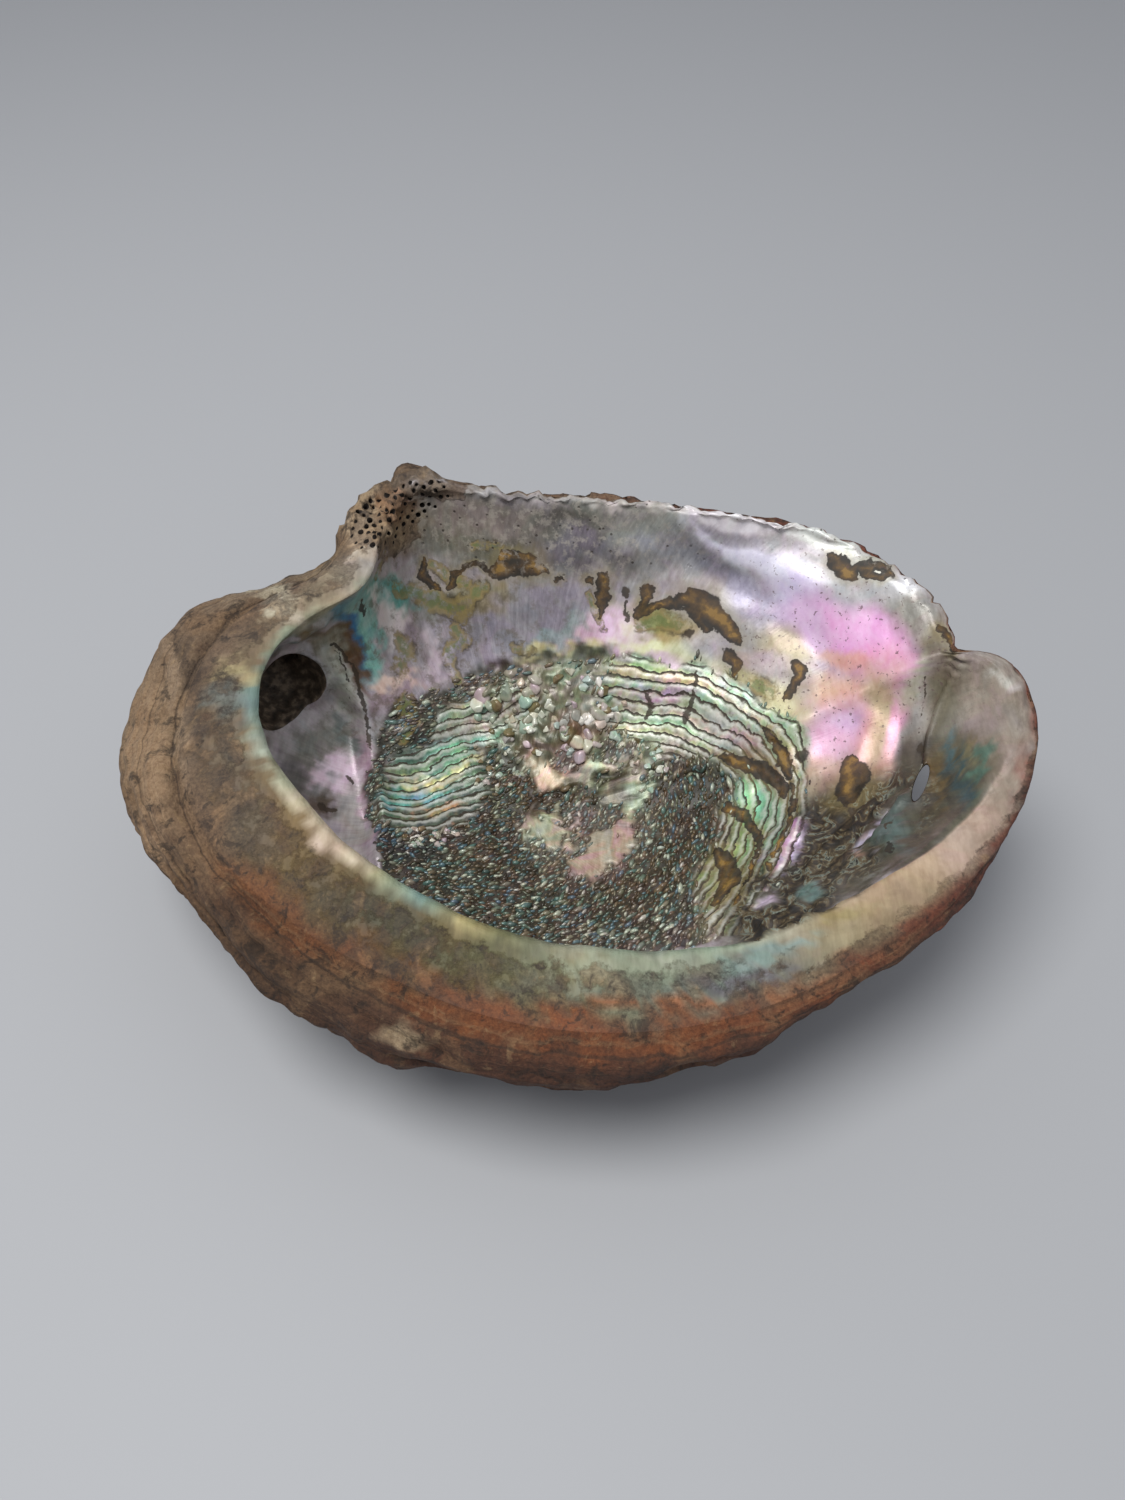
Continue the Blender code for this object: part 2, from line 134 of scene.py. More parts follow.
lens = bpy.data.cameras.new("photo_view")
lens.sensor_width = SENSOR_WIDTH
lens.lens = FOCAL_PIXELS / PHOTO[1] * SENSOR_WIDTH
lens.clip_start = NEAREST_SEEN
camera = in_scene("photo_view", lens)
camera.location = (EYE - STAND) * MM
camera.rotation_euler = (math.pi / 2 - CAMERA_ELEVATION, 0, 0)
bpy.context.scene.camera = camera
print("camera at", tuple(round(c, 3) for c in camera.location), "lens", round(lens.lens, 1))

# %% [markdown]
# ## The form: a ball pressed into a bowl
#
# A shell is one closed skin. A ball pressed in from above gives exactly that: its upper half becomes the
# pearly inside, its waist the rounded lip and its lower half the back. The driving values are the solid's,
# with a thinner lip at the back, so the fine surface lies on it. Each table gives a value at a few
# bearings, in degrees counterclockwise from the right.

# %% Driving values of the bowl
INSIDE_DEPTH, OUTSIDE_DEPTH = 50.0, 57.0
WORN_SPOT = (-16, 4)
MOUTH_CENTRE = (2.0, 10.0)
DEEPEST_INSIDE, DEEPEST_OUTSIDE = (-9.0, 13.0), (-17.0, 16.0)
SPIRE_REACH, SPIRE_ANGLE = 0.62, math.radians(158)
MOUTH_EDGE = [
    (103.5, 12), (101, 21), (96.3, 25.3), (91, 27.5), (91, 33), (88, 44), (80, 55), (64, 66.5), (45, 72),
    (20, 77), (-5, 79.5), (-24, 82), (-38, 83), (-49, 69), (-58, 54), (-72, 42), (-81, 27), (-84, 10),
    (-80, -8), (-71, -23), (-56, -37), (-34, -50), (-10, -59), (14, -61), (36, -57), (58, -47), (76, -35),
    (91, -20), (100, -5)]
EDGE_HEIGHT = [
    (0, 1), (6, 2.5), (9, 2.5), (12, 0), (20, 0), (100, 0), (120, 1), (150, -1), (200, -2), (250, -3),
    (300, -3), (330, -1)]
LIP_WIDTH = [
    (0, 4), (30, 2.2), (100, 2.4), (122, 5), (140, 12), (165, 14), (185, 18.5), (200, 21), (218, 19),
    (245, 16.5), (275, 15.5), (302, 13), (325, 11.5), (345, 7.5)]
LIP_RISE = [
    (0, 0), (30, 0.5), (100, 0.5), (120, 0), (150, 1.5), (200, 3), (240, 3.5), (290, 3.5), (330, 1.5)]
INSIDE_STEEPNESS = [
    (0, 1.7), (100, 1.8), (125, 1.3), (160, 0.88), (215, 0.88), (250, 1), (300, 1.05), (340, 1.5)]
UNDERCUT = [
    (0, 0), (125, 0), (150, 4), (175, 10), (200, 15.5), (225, 14), (250, 11.5), (280, 9), (310, 5), (335, 2),
    (350, 0)]
OUTSIDE_STEEPNESS = [
    (0, 1.35), (50, 1.6), (110, 1.4), (140, 1.15), (180, 1.2), (230, 1.35), (290, 1.45), (330, 1.35)]
BELLY = [
    (0, 3), (40, 0), (105, 0), (125, 4), (150, 10), (175, 11.5), (205, 11.5), (235, 13), (270, 13),
    (300, 11.5), (330, 7)]
EDGE = sorted((math.degrees(math.atan2(y - MOUTH_CENTRE[1], x - MOUTH_CENTRE[0])) % 360,
               math.hypot(x - MOUTH_CENTRE[0], y - MOUTH_CENTRE[1])) for x, y in MOUTH_EDGE)
print("mouth's edge has", len(EDGE), "points")

# %% [markdown]
# Nature has no corners between two values, so every table is read along a smooth curve. Bumps, bands and
# soft noise are what the relief and the finish are made of, and each of them has its own small function.

# %% Curves, bumps and noise
NOISE_GAIN = 1.8


def smooth_row(stops, rows, at):
    """Rows of numbers given at a few stops, at any places between, on one smooth curve."""
    slopes = np.gradient(rows, stops, axis=0)
    low = np.clip(np.searchsorted(stops, at, side="right") - 1, 0, len(stops) - 2)
    span = (stops[low + 1] - stops[low])[:, None]
    u = (at - stops[low])[:, None] / span
    rising = u * u * (3 - 2 * u)
    leaving = u * (1 - u) ** 2 * span * slopes[low]
    arriving = u * u * (u - 1) * span * slopes[low + 1]
    return rows[low] * (1 - rising) + rows[low + 1] * rising + leaving + arriving


def around(table, bearing):
    """The values of a closed row of (bearing, value) pairs at many bearings in radians."""
    stops = np.radians([stop for stop, _ in table])
    stops = np.concatenate([stops - FULL_TURN, stops, stops + FULL_TURN])
    values = np.array([[value] for _, value in table] * 3, float)
    return smooth_row(stops, values, bearing % FULL_TURN)[:, 0]


def in_degrees(bearing):
    """Bearings in radians as degrees from 0 to 360."""
    return np.degrees(bearing) % 360


def fade(value, start, end):
    """0 at start, 1 at end, smooth between."""
    u = np.clip((value - start) / (end - start), 0, 1)
    return u * u * (3 - 2 * u)


def band(value, start, full, waning, end):
    """A band that is 1 from full to waning and fades to 0 at start and at end."""
    return fade(value, start, full) * (1 - fade(value, waning, end))


def bump(away, reach):
    """1 in the middle of a round bump, and nearly nothing at twice its reach."""
    return np.exp(-(away / reach) ** 2)


def lumps(points, size, offset=0.0):
    """Soft noise between about -1 and 1 whose lumps are about this size."""
    shift = Vector((offset, 0.7 * offset, 1.3 * offset))
    return np.array([noise.noise(Vector(point) / size + shift) for point in points]) * NOISE_GAIN


def rough(points, *layers):
    """Layers of soft noise, each with its height, the size of its lumps and its offset."""
    return sum(height * lumps(points, size, offset) for height, size, offset in layers)


print("the mouth is", around(EDGE, np.array([0.0])).round(1)[0], "mm wide to the right")

# %% [markdown]
# The back rim of the real shell is thin and chipped, like the edge of old porcelain. The chips are taken
# out of the edge's radius along the back only, so they bite into the inside and the back alike.

# %% Chips of the back rim
CHIP_DEPTHS = ((9.0, 1.7), (3.2, 1.5))
THIN_RIM = (12, 20, 108, 118)
RIM_RADIUS = 92


def chips(bearing):
    """How deep the thin back rim is chipped at each bearing."""
    along = np.stack([np.cos(bearing) * RIM_RADIUS, np.sin(bearing) * RIM_RADIUS, np.zeros_like(bearing)], 1)
    bitten = sum(depth * np.maximum(lumps(along, size, size), 0) for size, depth in CHIP_DEPTHS)
    return band(in_degrees(bearing), *THIN_RIM) * bitten


print("deepest chip", chips(np.radians(np.arange(360.0))).max().round(1), "mm")

# %% [markdown]
# The inside and the back are each a family of rings that widen from a deepest point. How steeply they rise
# changes around the shell, and a hump in the profile gives the inside its overhang and the back its belly.
# The lip is a low rounded crown between them.

# %% Bowl surfaces
INSIDE_HUMP, BACK_HUMP = (1.0, 2.6), (0.8, 1.9)
CROWNED_FROM, CROWN_RISE, THIN_CROWN = (112, 130), 0.09, -0.01


def bulge(u, rise, fall):
    """A hump over 0 to 1 whose top is 1, steep where its power is low."""
    top = rise / (rise + fall)
    return (u / top) ** rise * ((1 - u) / (1 - top)) ** fall


def bowl_points(share, bearing, radius, low_place, edge_height, depth, steepness, swell):
    """Points of a bowl: share runs from 0 at its deepest point to 1 at its edge."""
    turn = share * math.pi / 2
    sink = np.maximum(np.cos(turn), 0) ** steepness
    reach = radius * np.sin(turn) + swell
    settle = share * share
    x = low_place[0] + (MOUTH_CENTRE[0] - low_place[0]) * settle + reach * np.cos(bearing)
    y = low_place[1] + (MOUTH_CENTRE[1] - low_place[1]) * settle + reach * np.sin(bearing)
    return np.stack([x, y, edge_height - (depth + edge_height) * sink], 1)


def inside_points(share, bearing):
    """The pearly inside, whose edge is the inner crest of the lip."""
    crest = around(EDGE, bearing) - around(LIP_WIDTH, bearing) - chips(bearing) * fade(share, 0.9, 1)
    height = around(EDGE_HEIGHT, bearing) + around(LIP_RISE, bearing)
    swell = around(UNDERCUT, bearing) * bulge(1 - share, *INSIDE_HUMP)
    steepness = around(INSIDE_STEEPNESS, bearing)
    return bowl_points(share, bearing, crest, DEEPEST_INSIDE, height, INSIDE_DEPTH, steepness, swell)


def back_points(growth, bearing):
    """The back: growth is 1 on the newest line, at the mouth's edge, and 0 at the spire's tip."""
    east = SPIRE_REACH * math.cos(SPIRE_ANGLE) * (1 - growth) + growth * np.cos(bearing)
    north = SPIRE_REACH * math.sin(SPIRE_ANGLE) * (1 - growth) + growth * np.sin(bearing)
    share, bearing = np.minimum(np.hypot(east, north), 1), np.arctan2(north, east)
    swell = around(BELLY, bearing) * bulge(1 - share, *BACK_HUMP)
    edge = around(EDGE, bearing) - chips(bearing) * fade(share, 0.93, 1)
    steepness = around(OUTSIDE_STEEPNESS, bearing)
    return bowl_points(share, bearing, edge, DEEPEST_OUTSIDE, around(EDGE_HEIGHT, bearing), OUTSIDE_DEPTH,
                       steepness, swell)


def lip_points(share, bearing):
    """Across the rounded lip, from its inner crest at 0 to the mouth's edge at 1."""
    crest, edge = (surface(np.ones_like(bearing), bearing) for surface in (inside_points, back_points))
    rounded = fade(in_degrees(bearing), *CROWNED_FROM) * CROWN_RISE + THIN_CROWN
    crown = rounded * np.linalg.norm(edge - crest, axis=1) * np.sin(math.pi * share)
    return crest + (edge - crest) * share[:, None] + np.stack([0 * crown, 0 * crown, crown], 1)


print("bowl's depth", inside_points(np.zeros(1), np.zeros(1))[0, 2].round(1), "mm")

# %% [markdown]
# ## Rings of the ball
#
# One uv sphere carries the whole surface. Its rings are packed close where the scar's plates lie, and in
# pairs where a growth ledge drops, so that the steps stay sharp.

# %% Ring plan
AROUND = 432
SCAR_RINGS, WALL_RINGS, LIP_RINGS, BACK_RINGS = 92, 44, 8, 56
SCAR_SHARE = 0.64
GROWTH_LEDGES, NEWEST_LEDGE, OLDEST_LEDGE, LEDGE_SHARPNESS = 8, 0.965, 0.36, 0.006
LEDGE_FOOT, LEDGE_TOP = -0.35, 1.0
ledge_stops = [1.0]
ledge_heights = [0.0]
for ledge in range(GROWTH_LEDGES):
    line = NEWEST_LEDGE - (NEWEST_LEDGE - OLDEST_LEDGE) * (ledge / (GROWTH_LEDGES - 1)) ** 1.1
    ledge_stops += [line + LEDGE_SHARPNESS, line - LEDGE_SHARPNESS]
    ledge_heights += [LEDGE_FOOT, LEDGE_TOP]
ledge_stops.append(OLDEST_LEDGE - 0.05)
ledge_heights.append(0.0)

scar_shares, wall_shares = np.linspace(0, SCAR_SHARE, SCAR_RINGS), np.linspace(SCAR_SHARE, 1, WALL_RINGS)
inside_shares = np.concatenate([scar_shares, wall_shares[1:]])
back_growths = np.unique(np.concatenate([np.linspace(0, 1, BACK_RINGS), ledge_stops]))[::-1]
plan = [("inside", share) for share in inside_shares]
plan += [("lip", (step + 1) / (LIP_RINGS + 1)) for step in range(LIP_RINGS)]
plan += [("back", growth) for growth in back_growths]
print(len(plan), "rings of", AROUND, "faces:", 2 * AROUND * (len(plan) - 2), "triangles")

# %% [markdown]
# ## Relief
#
# Relief is measured square to the surface. What the solid shows too, such as the scar's raised edge, the
# ridge below the spire's hole and the lobe beside the row of holes, lies where the solid has it. The rest
# is too fine for the solid. Lines that are easier to read in the photo than on the shell are given as photo
# places.

# %% Places of the relief
SCAR = [
    (-47, 14), (-45, 30), (-38, 39), (-24, 47), (5, 50), (36, 43), (57, 23), (56, 6), (51, -9), (36, -28),
    (8, -33), (-20, -25), (-40, -8)]
RIDGE = [(-63, 37), (-58, 41), (-51, 36), (-50, 29), (-48, 19), (-46, 8), (-45, -5)]
PEARLS = [(-24, 42), (-14, 44), (-6, 38), (0, 43), (2, 35), (9, 31), (16, 30), (22, 25)]
HOLE_ROW = [(91, 27), (87, 19), (83.5, 10), (81, 0), (70, -13), (56, -25), (38, -36), (16, -43)]
HOLES = [(81, 0), (69, -14), (55, -26), (38, -37), (19, -43)]
SPONGE_BEARINGS, SPONGE_CRUST = (117, 131), 3.0
BARNACLES = [(-33, -62, -19, 2.2, 5.0), (30, -66, -18, 1.4, 6.0), (-92, 20, -20, 1.6, 5.0)]
FOLDS_SEEN = [
    ([(690, 556), (735, 580), (790, 610), (826, 650)], 20, -1.3),
    ([(700, 540), (765, 560), (820, 585)], 16, 0.9),
    ([(784, 626), (830, 664), (868, 684), (880, 700)], 15, -0.7),
    ([(862, 690), (868, 722), (858, 758)], 9, 0.8), ([(905, 690), (900, 740), (885, 782)], 9, -0.8),
    ([(816, 690), (806, 730), (812, 770)], 12, 0.6), ([(560, 520), (640, 530), (720, 545)], 16, -0.8)]
HEALED_SEEN = [
    ([(800, 826), (778, 868)], 11, 1.6), ([(757, 901), (773, 897)], 9, 1.0),
    ([(806, 896), (816, 890)], 9, 0.9), ([(906, 806), (896, 848)], 20, 1.8),
    ([(878, 822), (862, 850)], 7, 0.8)]
CRESCENT_SEEN = ([(314, 650), (335, 662), (352, 684), (361, 706)], 9, 1.0)
print(len(PEARLS), "pearls,", len(HOLES), "holes,", len(FOLDS_SEEN), "folds,", len(BARNACLES), "barnacles")

# %% [markdown]
# Most features follow a line or fill an outline. Two questions answer nearly everything: how far a place is
# from a line and on which side, and how deep it lies in an outline.

# %% Lines and outlines
def line_distance(x, y, line):
    """How far places are from a line of points, and on which side: left of its way is positive."""
    nearest, side = np.full(len(x), np.inf), np.ones(len(x))
    for (x0, y0), (x1, y1) in zip(line, line[1:]):
        wx, wy = x1 - x0, y1 - y0
        along = np.clip(((x - x0) * wx + (y - y0) * wy) / (wx * wx + wy * wy), 0, 1)
        gap = np.hypot(x - x0 - wx * along, y - y0 - wy * along)
        closer = gap < nearest
        nearest = np.where(closer, gap, nearest)
        side = np.where(closer, np.where(wx * (y - y0) - wy * (x - x0) < 0, -1.0, 1.0), side)
    return nearest, side


def within(x, y, outline):
    """How deep places are inside an outline: negative outside it."""
    distance, _ = line_distance(x, y, outline + outline[:1])
    crossings = np.zeros(len(x), int)
    for (x0, y0), (x1, y1) in zip(outline, outline[1:] + outline[:1]):
        if y0 != y1:
            crossings += ((y0 > y) != (y1 > y)) & (x < x0 + (y - y0) / (y1 - y0) * (x1 - x0))
    return np.where(crossings % 2 == 1, distance, -distance)


print("the scar's middle lies", within(np.zeros(1), np.zeros(1), SCAR)[0].round(1), "mm inside its outline")

# %% [markdown]
# The inside carries the raised edge of the scar, the largest pearls, the ridge below the spire hole, the
# lobe that stands along the row of holes, and soft folds in the right wall. The folds and healed holes are
# placed by where the photo shows them.

# %% Relief of the inside
SCAR_RIM_HEIGHT, PEARL_HEIGHT, PEARL_REACH = 0.9, 1.2, 3.2
RIDGE_HEIGHT, RIDGE_REACH, BESIDE_RIDGE_DEPTH = 2.2, 2.6, 2.6
LOBE_HEIGHT, CURL_HEIGHT, CURL_REACH, TROUGH_DEPTH, FOLD_HEIGHT = 3.0, 1.6, 2.2, 1.4, 0.9


def inside_relief(points, share, bearing):
    """The large features of the inside."""
    x, y = points[:, 0], points[:, 1]
    relief = rough(points, (0.5, 30, 3)) + SCAR_RIM_HEIGHT * band(within(x, y, SCAR), -3, 1, 2, 9)
    for px, py in PEARLS:
        relief += PEARL_HEIGHT * bump(np.hypot(x - px, y - py), PEARL_REACH)
    away, side = line_distance(x, y, RIDGE)
    behind = 1 - fade(-y, 4, 14)
    relief += RIDGE_HEIGHT * bump(away, RIDGE_REACH) * behind
    beside = (1 - fade(away, 8, 20)) * fade(-side * away, 0, 4) * fade(1 - share, 0, 0.3)
    relief -= BESIDE_RIDGE_DEPTH * beside * behind
    away, side = line_distance(x, y, HOLE_ROW)
    on_lobe = fade(side * away, -0.8, 1.2)
    wane = fade(x, 15, 60) * (1 - fade(share, 0.93, 1))
    relief += LOBE_HEIGHT * on_lobe * np.exp(-away / 9) * wane
    relief -= TROUGH_DEPTH * (1 - on_lobe) * np.exp(-away / 6) * wane
    relief += CURL_HEIGHT * fade(side * away, -0.3, 0.5) * bump(away, CURL_REACH) * fade(x, 76, 84)
    degrees = in_degrees(bearing)
    folds = np.sin(degrees / 6.5 + 4 * share) * band(degrees, 8, 25, 60, 85)
    return relief + FOLD_HEIGHT * folds * band(share, 0.45, 0.65, 0.9, 1)


def humps(u, v, lines):
    """Soft ridges and furrows along lines seen in the photo, each with its half width and its height."""
    return sum(height * bump(line_distance(u, v, line)[0], width) for line, width, height in lines)


def skin(points):
    """The faint unevenness of all pearl."""
    return rough(points, (0.12, 4, 81), (0.25, 9, 82))


def flakes(points):
    """Flaky chips of a broken edge of pearl."""
    return rough(points, (0.6, 3.4, 84), (0.45, 1.8, 86))


def on_flange(degrees):
    """1 along the stretch of the mouth's edge that the boring sponge has thickened."""
    first, last = SPONGE_BEARINGS
    return band(degrees, first - 5, first, last, last + 5)


print("scar's edge", SCAR_RIM_HEIGHT, "mm, lobe", LOBE_HEIGHT, "mm high")

# %% [markdown]
# The back grows outwards from the spire in ledges, like the rings of a tree. Knolls mark the old breathing
# holes, worm tubes and barnacles have left bumps, and the lowest part is worn smooth where the shell rests.

# %% Whorls and holes of the back
WHORL_WIDENING, WHORL_START, SUTURE_DIRECTION = 12, 0.45, math.radians(115)
SPIRE_HEIGHT, SPIRE_WIDTH, WHORL_SWELL = 6.0, 0.2, 34.0


def hole_mouths():
    """Where the breathing holes, open or healed, come out of the back."""
    share, bearing = np.meshgrid(np.linspace(0.3, 0.98, 120), np.radians(np.arange(0, 360, 1.0)))
    points = inside_points(share.ravel(), bearing.ravel())
    mouths = []
    for x, y in HOLES:
        place = points[np.argmin(np.hypot(points[:, 0] - x, points[:, 1] - y))]
        outward = np.array((x - MOUTH_CENTRE[0], y - MOUTH_CENTRE[1], -OUTSIDE_DEPTH))
        mouths.append(place + outward / np.linalg.norm(outward) * (OUTSIDE_DEPTH - INSIDE_DEPTH))
    return mouths


def from_spire(growth, bearing):
    """Distance and direction from the spire's tip, as shares of the mouth laid flat."""
    east = growth * (np.cos(bearing) - SPIRE_REACH * math.cos(SPIRE_ANGLE))
    north = growth * (np.sin(bearing) - SPIRE_REACH * math.sin(SPIRE_ANGLE))
    return np.hypot(east, north), np.arctan2(north, east)


def whorls(growth, bearing):
    """The rounded whorls of the spire and the suture between them, on a spiral that closes clockwise."""
    distance, direction = from_spire(growth, bearing)
    turned = (SUTURE_DIRECTION - direction) % FULL_TURN / FULL_TURN
    outward = np.log(np.maximum(distance, 0.004) / WHORL_START) / math.log(WHORL_WIDENING) + turned
    rounded = np.sin(math.pi * (outward % 1.0)) ** 0.7 - 0.5
    swollen = WHORL_SWELL * distance * rounded * (1 - fade(distance, 0.25, 0.5))
    return SPIRE_HEIGHT * bump(distance, SPIRE_WIDTH) + swollen


knolls = [(*mouth, 3.0, 7.0) for mouth in hole_mouths()]
print(len(knolls), "knolls over the holes")

# %% [markdown]
# The ledges are a sawtooth over the growth of the shell, and finer lines lie between them. A groove runs
# under the newest growth at the left, where the photo shows the lip standing clear of the back.

# %% Relief of the back
LEDGE_HEIGHT, GROOVE_DEPTH, GROOVE_PLACE, WORN_FLAT = 1.5, 2.0, 0.97, 0.8
FINE_LINES, FINE_LINE_HEIGHT = 46, 0.35


def back_relief(points, growth, bearing):
    """Ledges, knolls, growth lines and crust of the back."""
    degrees = in_degrees(bearing)
    room = fade(from_spire(np.ones_like(bearing), bearing)[0], 0.25, 0.95)
    edge = 1 - fade(growth, 0.93, 1)
    sawtooth = np.interp(growth + rough(points, (0.004, 14, 21)), ledge_stops[::-1], ledge_heights[::-1])
    relief = LEDGE_HEIGHT * sawtooth * room * (0.7 + 0.6 * lumps(points, 26, 5))
    relief += edge * (1.8 * lumps(points, 22, 1) * fade(growth, 0.1, 0.35) + 0.5 * lumps(points, 7, 9))
    left = band(degrees, 135, 155, 225, 260)
    relief *= 1 - 0.75 * left * bump(growth - NEWEST_LEDGE, 0.03)
    relief -= GROOVE_DEPTH * left * bump(growth - GROOVE_PLACE, 0.022)
    relief += whorls(growth, bearing)
    fine = (growth * FINE_LINES + rough(points, (0.5, 18, 31))) % 1.0
    relief += FINE_LINE_HEIGHT * (0.5 - fine) * room * edge
    crust = lumps(points, 3.4, 41)
    patches = np.maximum(crust, 0.1) * np.maximum(lumps(points, 11, 43), 0)
    relief += (0.35 * crust + 0.5 * patches) * (0.3 + 0.7 * edge)
    for x, y, z, height, reach in BARNACLES + knolls:
        relief += height * bump(np.linalg.norm(points - np.array((x, y, z)), axis=1), reach)
    bored = on_flange(degrees) * fade(growth, 0.75, 0.93)
    relief += bored * (SPONGE_CRUST + rough(points, (1.3, 3.2, 45), (0.8, 1.8, 47)))
    worn = 1 - fade(np.hypot(points[:, 0] - WORN_SPOT[0], points[:, 1] - WORN_SPOT[1]), 14, 40)
    return relief * (1 - WORN_FLAT * worn)


print(GROWTH_LEDGES, "ledges,", FINE_LINES, "growth lines")

# %% [markdown]
# ## The muscle scar
#
# Where the muscle gripped, pearl was laid down in thin plates that end in wavy steps, and in the middle it
# broke up into streaming grains. A guide line along the scar's upper edge gives every place a count of
# plates below it: whole numbers are the steps. The same count drives the relief here and the dark lines in
# the finish, so they always meet.

# %% Plates and zones of the scar
PLATE_GUIDE = [
    (-78, 27), (-45, 35), (-30, 43), (-11, 49), (5, 50), (21, 47), (36, 43), (47, 34), (57, 22), (60, 10),
    (57, -2), (50, -16), (38, -34)]
PLATE_STEP, PLATE_HEIGHT, PLATE_RISE = 2.2, 0.75, 0.16
PLATES_SEEN = (((432, 786), (56, 44), -22), ((486, 716), (56, 26), -26), ((705, 712), (120, 52), 14),
               ((764, 836), (46, 122), 22))
CHUNKS_SEEN = ((548, 710), (76, 50), -10)
SMOOTH_SEEN = (((545, 828), (26, 18), 20), ((600, 852), (34, 18), -40), ((633, 812), (12, 38), 35),
               ((575, 775), (50, 12), -14), ((650, 755), (16, 32), 38), ((620, 790), (26, 10), -30))
TROUGH_SEEN = (((856, 828), (84, 46), -28), ((785, 902), (62, 44), -38))


def spot(u, v, centre, half, turn=0.0, soft=0.35):
    """1 inside an ellipse seen in the photo and 0 outside it, with a soft rim."""
    c, s = math.cos(math.radians(turn)), math.sin(math.radians(turn))
    du, dv = u - centre[0], v - centre[1]
    reach = np.hypot((du * c + dv * s) / half[0], (-du * s + dv * c) / half[1])
    return 1 - fade(reach, 1 - soft, 1 + soft)


def trough_mask(u, v):
    """1 in the dark trough along the row of holes."""
    return np.maximum(*(spot(u, v, *seen, soft=0.3) for seen in TROUGH_SEEN))


def plate_count(points):
    """How many plates lie between the scar's upper edge and each place."""
    distance, side = line_distance(points[:, 0], points[:, 1], PLATE_GUIDE)
    return (-side * distance + rough(points, (0.6, 8, 51), (0.4, 2.6, 53))) / PLATE_STEP


def scar_zones(points, u, v):
    """How much each place belongs to the plates, the chunky part, the grains and the smooth middle."""
    ragged = rough(points, (1.4, 6, 61), (0.8, 2.5, 63))
    inside = fade(within(points[:, 0], points[:, 1], SCAR) + ragged + 3.0, -0.8, 0.8)
    warped = u + 9 * lumps(points, 9, 65), v + 7 * lumps(points, 7, 67)
    plates = np.maximum.reduce([spot(*warped, *seen, soft=0.12) for seen in PLATES_SEEN]) * inside
    chunks = spot(*warped, *CHUNKS_SEEN, soft=0.2) * inside * (1 - plates)
    feather = 12 * lumps(points, 2.2, 68)
    bent = u + 14 * lumps(points, 6, 69) + feather, v + 9 * lumps(points, 5, 70) - 0.6 * feather
    smooth = np.maximum.reduce([spot(*bent, *seen, soft=0.2) for seen in SMOOTH_SEEN])
    smooth *= inside * (1 - plates) * (1 - chunks)
    grains = inside * (1 - plates) * (1 - chunks) * (1 - smooth)
    return {"inside": inside, "plates": plates, "chunks": chunks, "grains": grains, "smooth": smooth}


print("zones of the scar:", len(PLATES_SEEN), "of plates and", len(SMOOTH_SEEN), "smooth patches")

# %% [markdown]
# Each plate rises quickly at its edge and falls away slowly below the next one, like roof tiles seen from
# above. The bed of the grains is sunk, so that they fill it instead of standing on the pearl.

# %% Relief of the scar
def scar_relief(points, zones):
    """Steps of the plates, the lumps of the chunky part, and a sunk bed for the grains."""
    part = plate_count(points) % 1.0
    falling = 1 - 0.65 * (part - PLATE_RISE) / (1 - PLATE_RISE)
    step = np.where(part < PLATE_RISE, part / PLATE_RISE, falling)
    relief = zones["plates"] * PLATE_HEIGHT * (step - 0.6)
    relief += zones["chunks"] * (1.1 * np.abs(lumps(points, 3.6, 71)) + 0.3 * lumps(points, 2, 73) - 0.5)
    relief += zones["grains"] * (-0.5 + rough(points, (0.5, 5, 11), (0.25, 1.8, 75)))
    return relief + 0.35 * zones["smooth"]


print("plates", PLATE_STEP, "mm wide and", PLATE_HEIGHT, "mm high")

# %% [markdown]
# ## Building the ball
#
# Each of the three parts of the skin gets its own carving. On the inside the large features, the folds seen
# in the photo, the marbled trough, the torn rim and the scar are laid over each other. The lip is flaky and
# thin at the back, lumpy in front, ragged beside the lobe and eaten by a sponge at the flange.

# %% Carving of the parts
def carved_inside(points, share, bearing):
    """All the relief of the inside."""
    u, v = in_photo(points)
    degrees = in_degrees(bearing)
    relief = inside_relief(points, share, bearing) * (1 - fade(share, 0.94, 1))
    relief += humps(u, v, FOLDS_SEEN + HEALED_SEEN + [CRESCENT_SEEN]) * fade(1 - share, 0, 0.1)
    relief += trough_mask(u, v) * (1.5 * np.abs(lumps(points, 5, 77)) - 0.7 + 0.4 * lumps(points, 2, 79))
    torn = np.maximum(band(degrees, 12, 25, 100, 115), 2.2 * on_flange(degrees))
    relief += fade(share, 0.9, 0.97) * torn * flakes(points)
    return relief + scar_relief(points, scar_zones(points, u, v)) + skin(points)


def carved_lip(points, share, bearing):
    """All the relief of the lip."""
    degrees = in_degrees(bearing)
    thin, bored = band(degrees, 12, 25, 108, 122), on_flange(degrees)
    at_lobe = np.maximum(fade(degrees, 325, 345), 1 - fade(degrees, 3, 14))
    relief = skin(points) + thin * flakes(points) + (1 - thin) * rough(points, (0.4, 4.5, 88), (0.25, 2, 89))
    relief += at_lobe * (0.8 * np.abs(lumps(points, 6, 90)) + 0.5 * lumps(points, 2.6, 99))
    crust = 0.4 * SPONGE_CRUST + 1.6 * np.abs(lumps(points, 3.5, 85)) + 1.0 * lumps(points, 1.8, 87)
    return relief + bored * crust


PARTS = {"inside": (inside_points, carved_inside), "lip": (lip_points, carved_lip),
         "back": (back_points, back_relief)}
print("parts of the skin:", ", ".join(PARTS))

# %% [markdown]
# The sphere operator gives each vertex a ring and a bearing. Those two are all that is needed to place it
# in the bowl and to push it out by its relief, along the normal of the plain bowl. What would lie below the
# floor is pressed flat.

# %% Shell mesh
def place_vertices(made, co):
    """Moves every vertex of a bmesh to its place."""
    for vert, place in zip(made.verts, co):
        vert.co = place


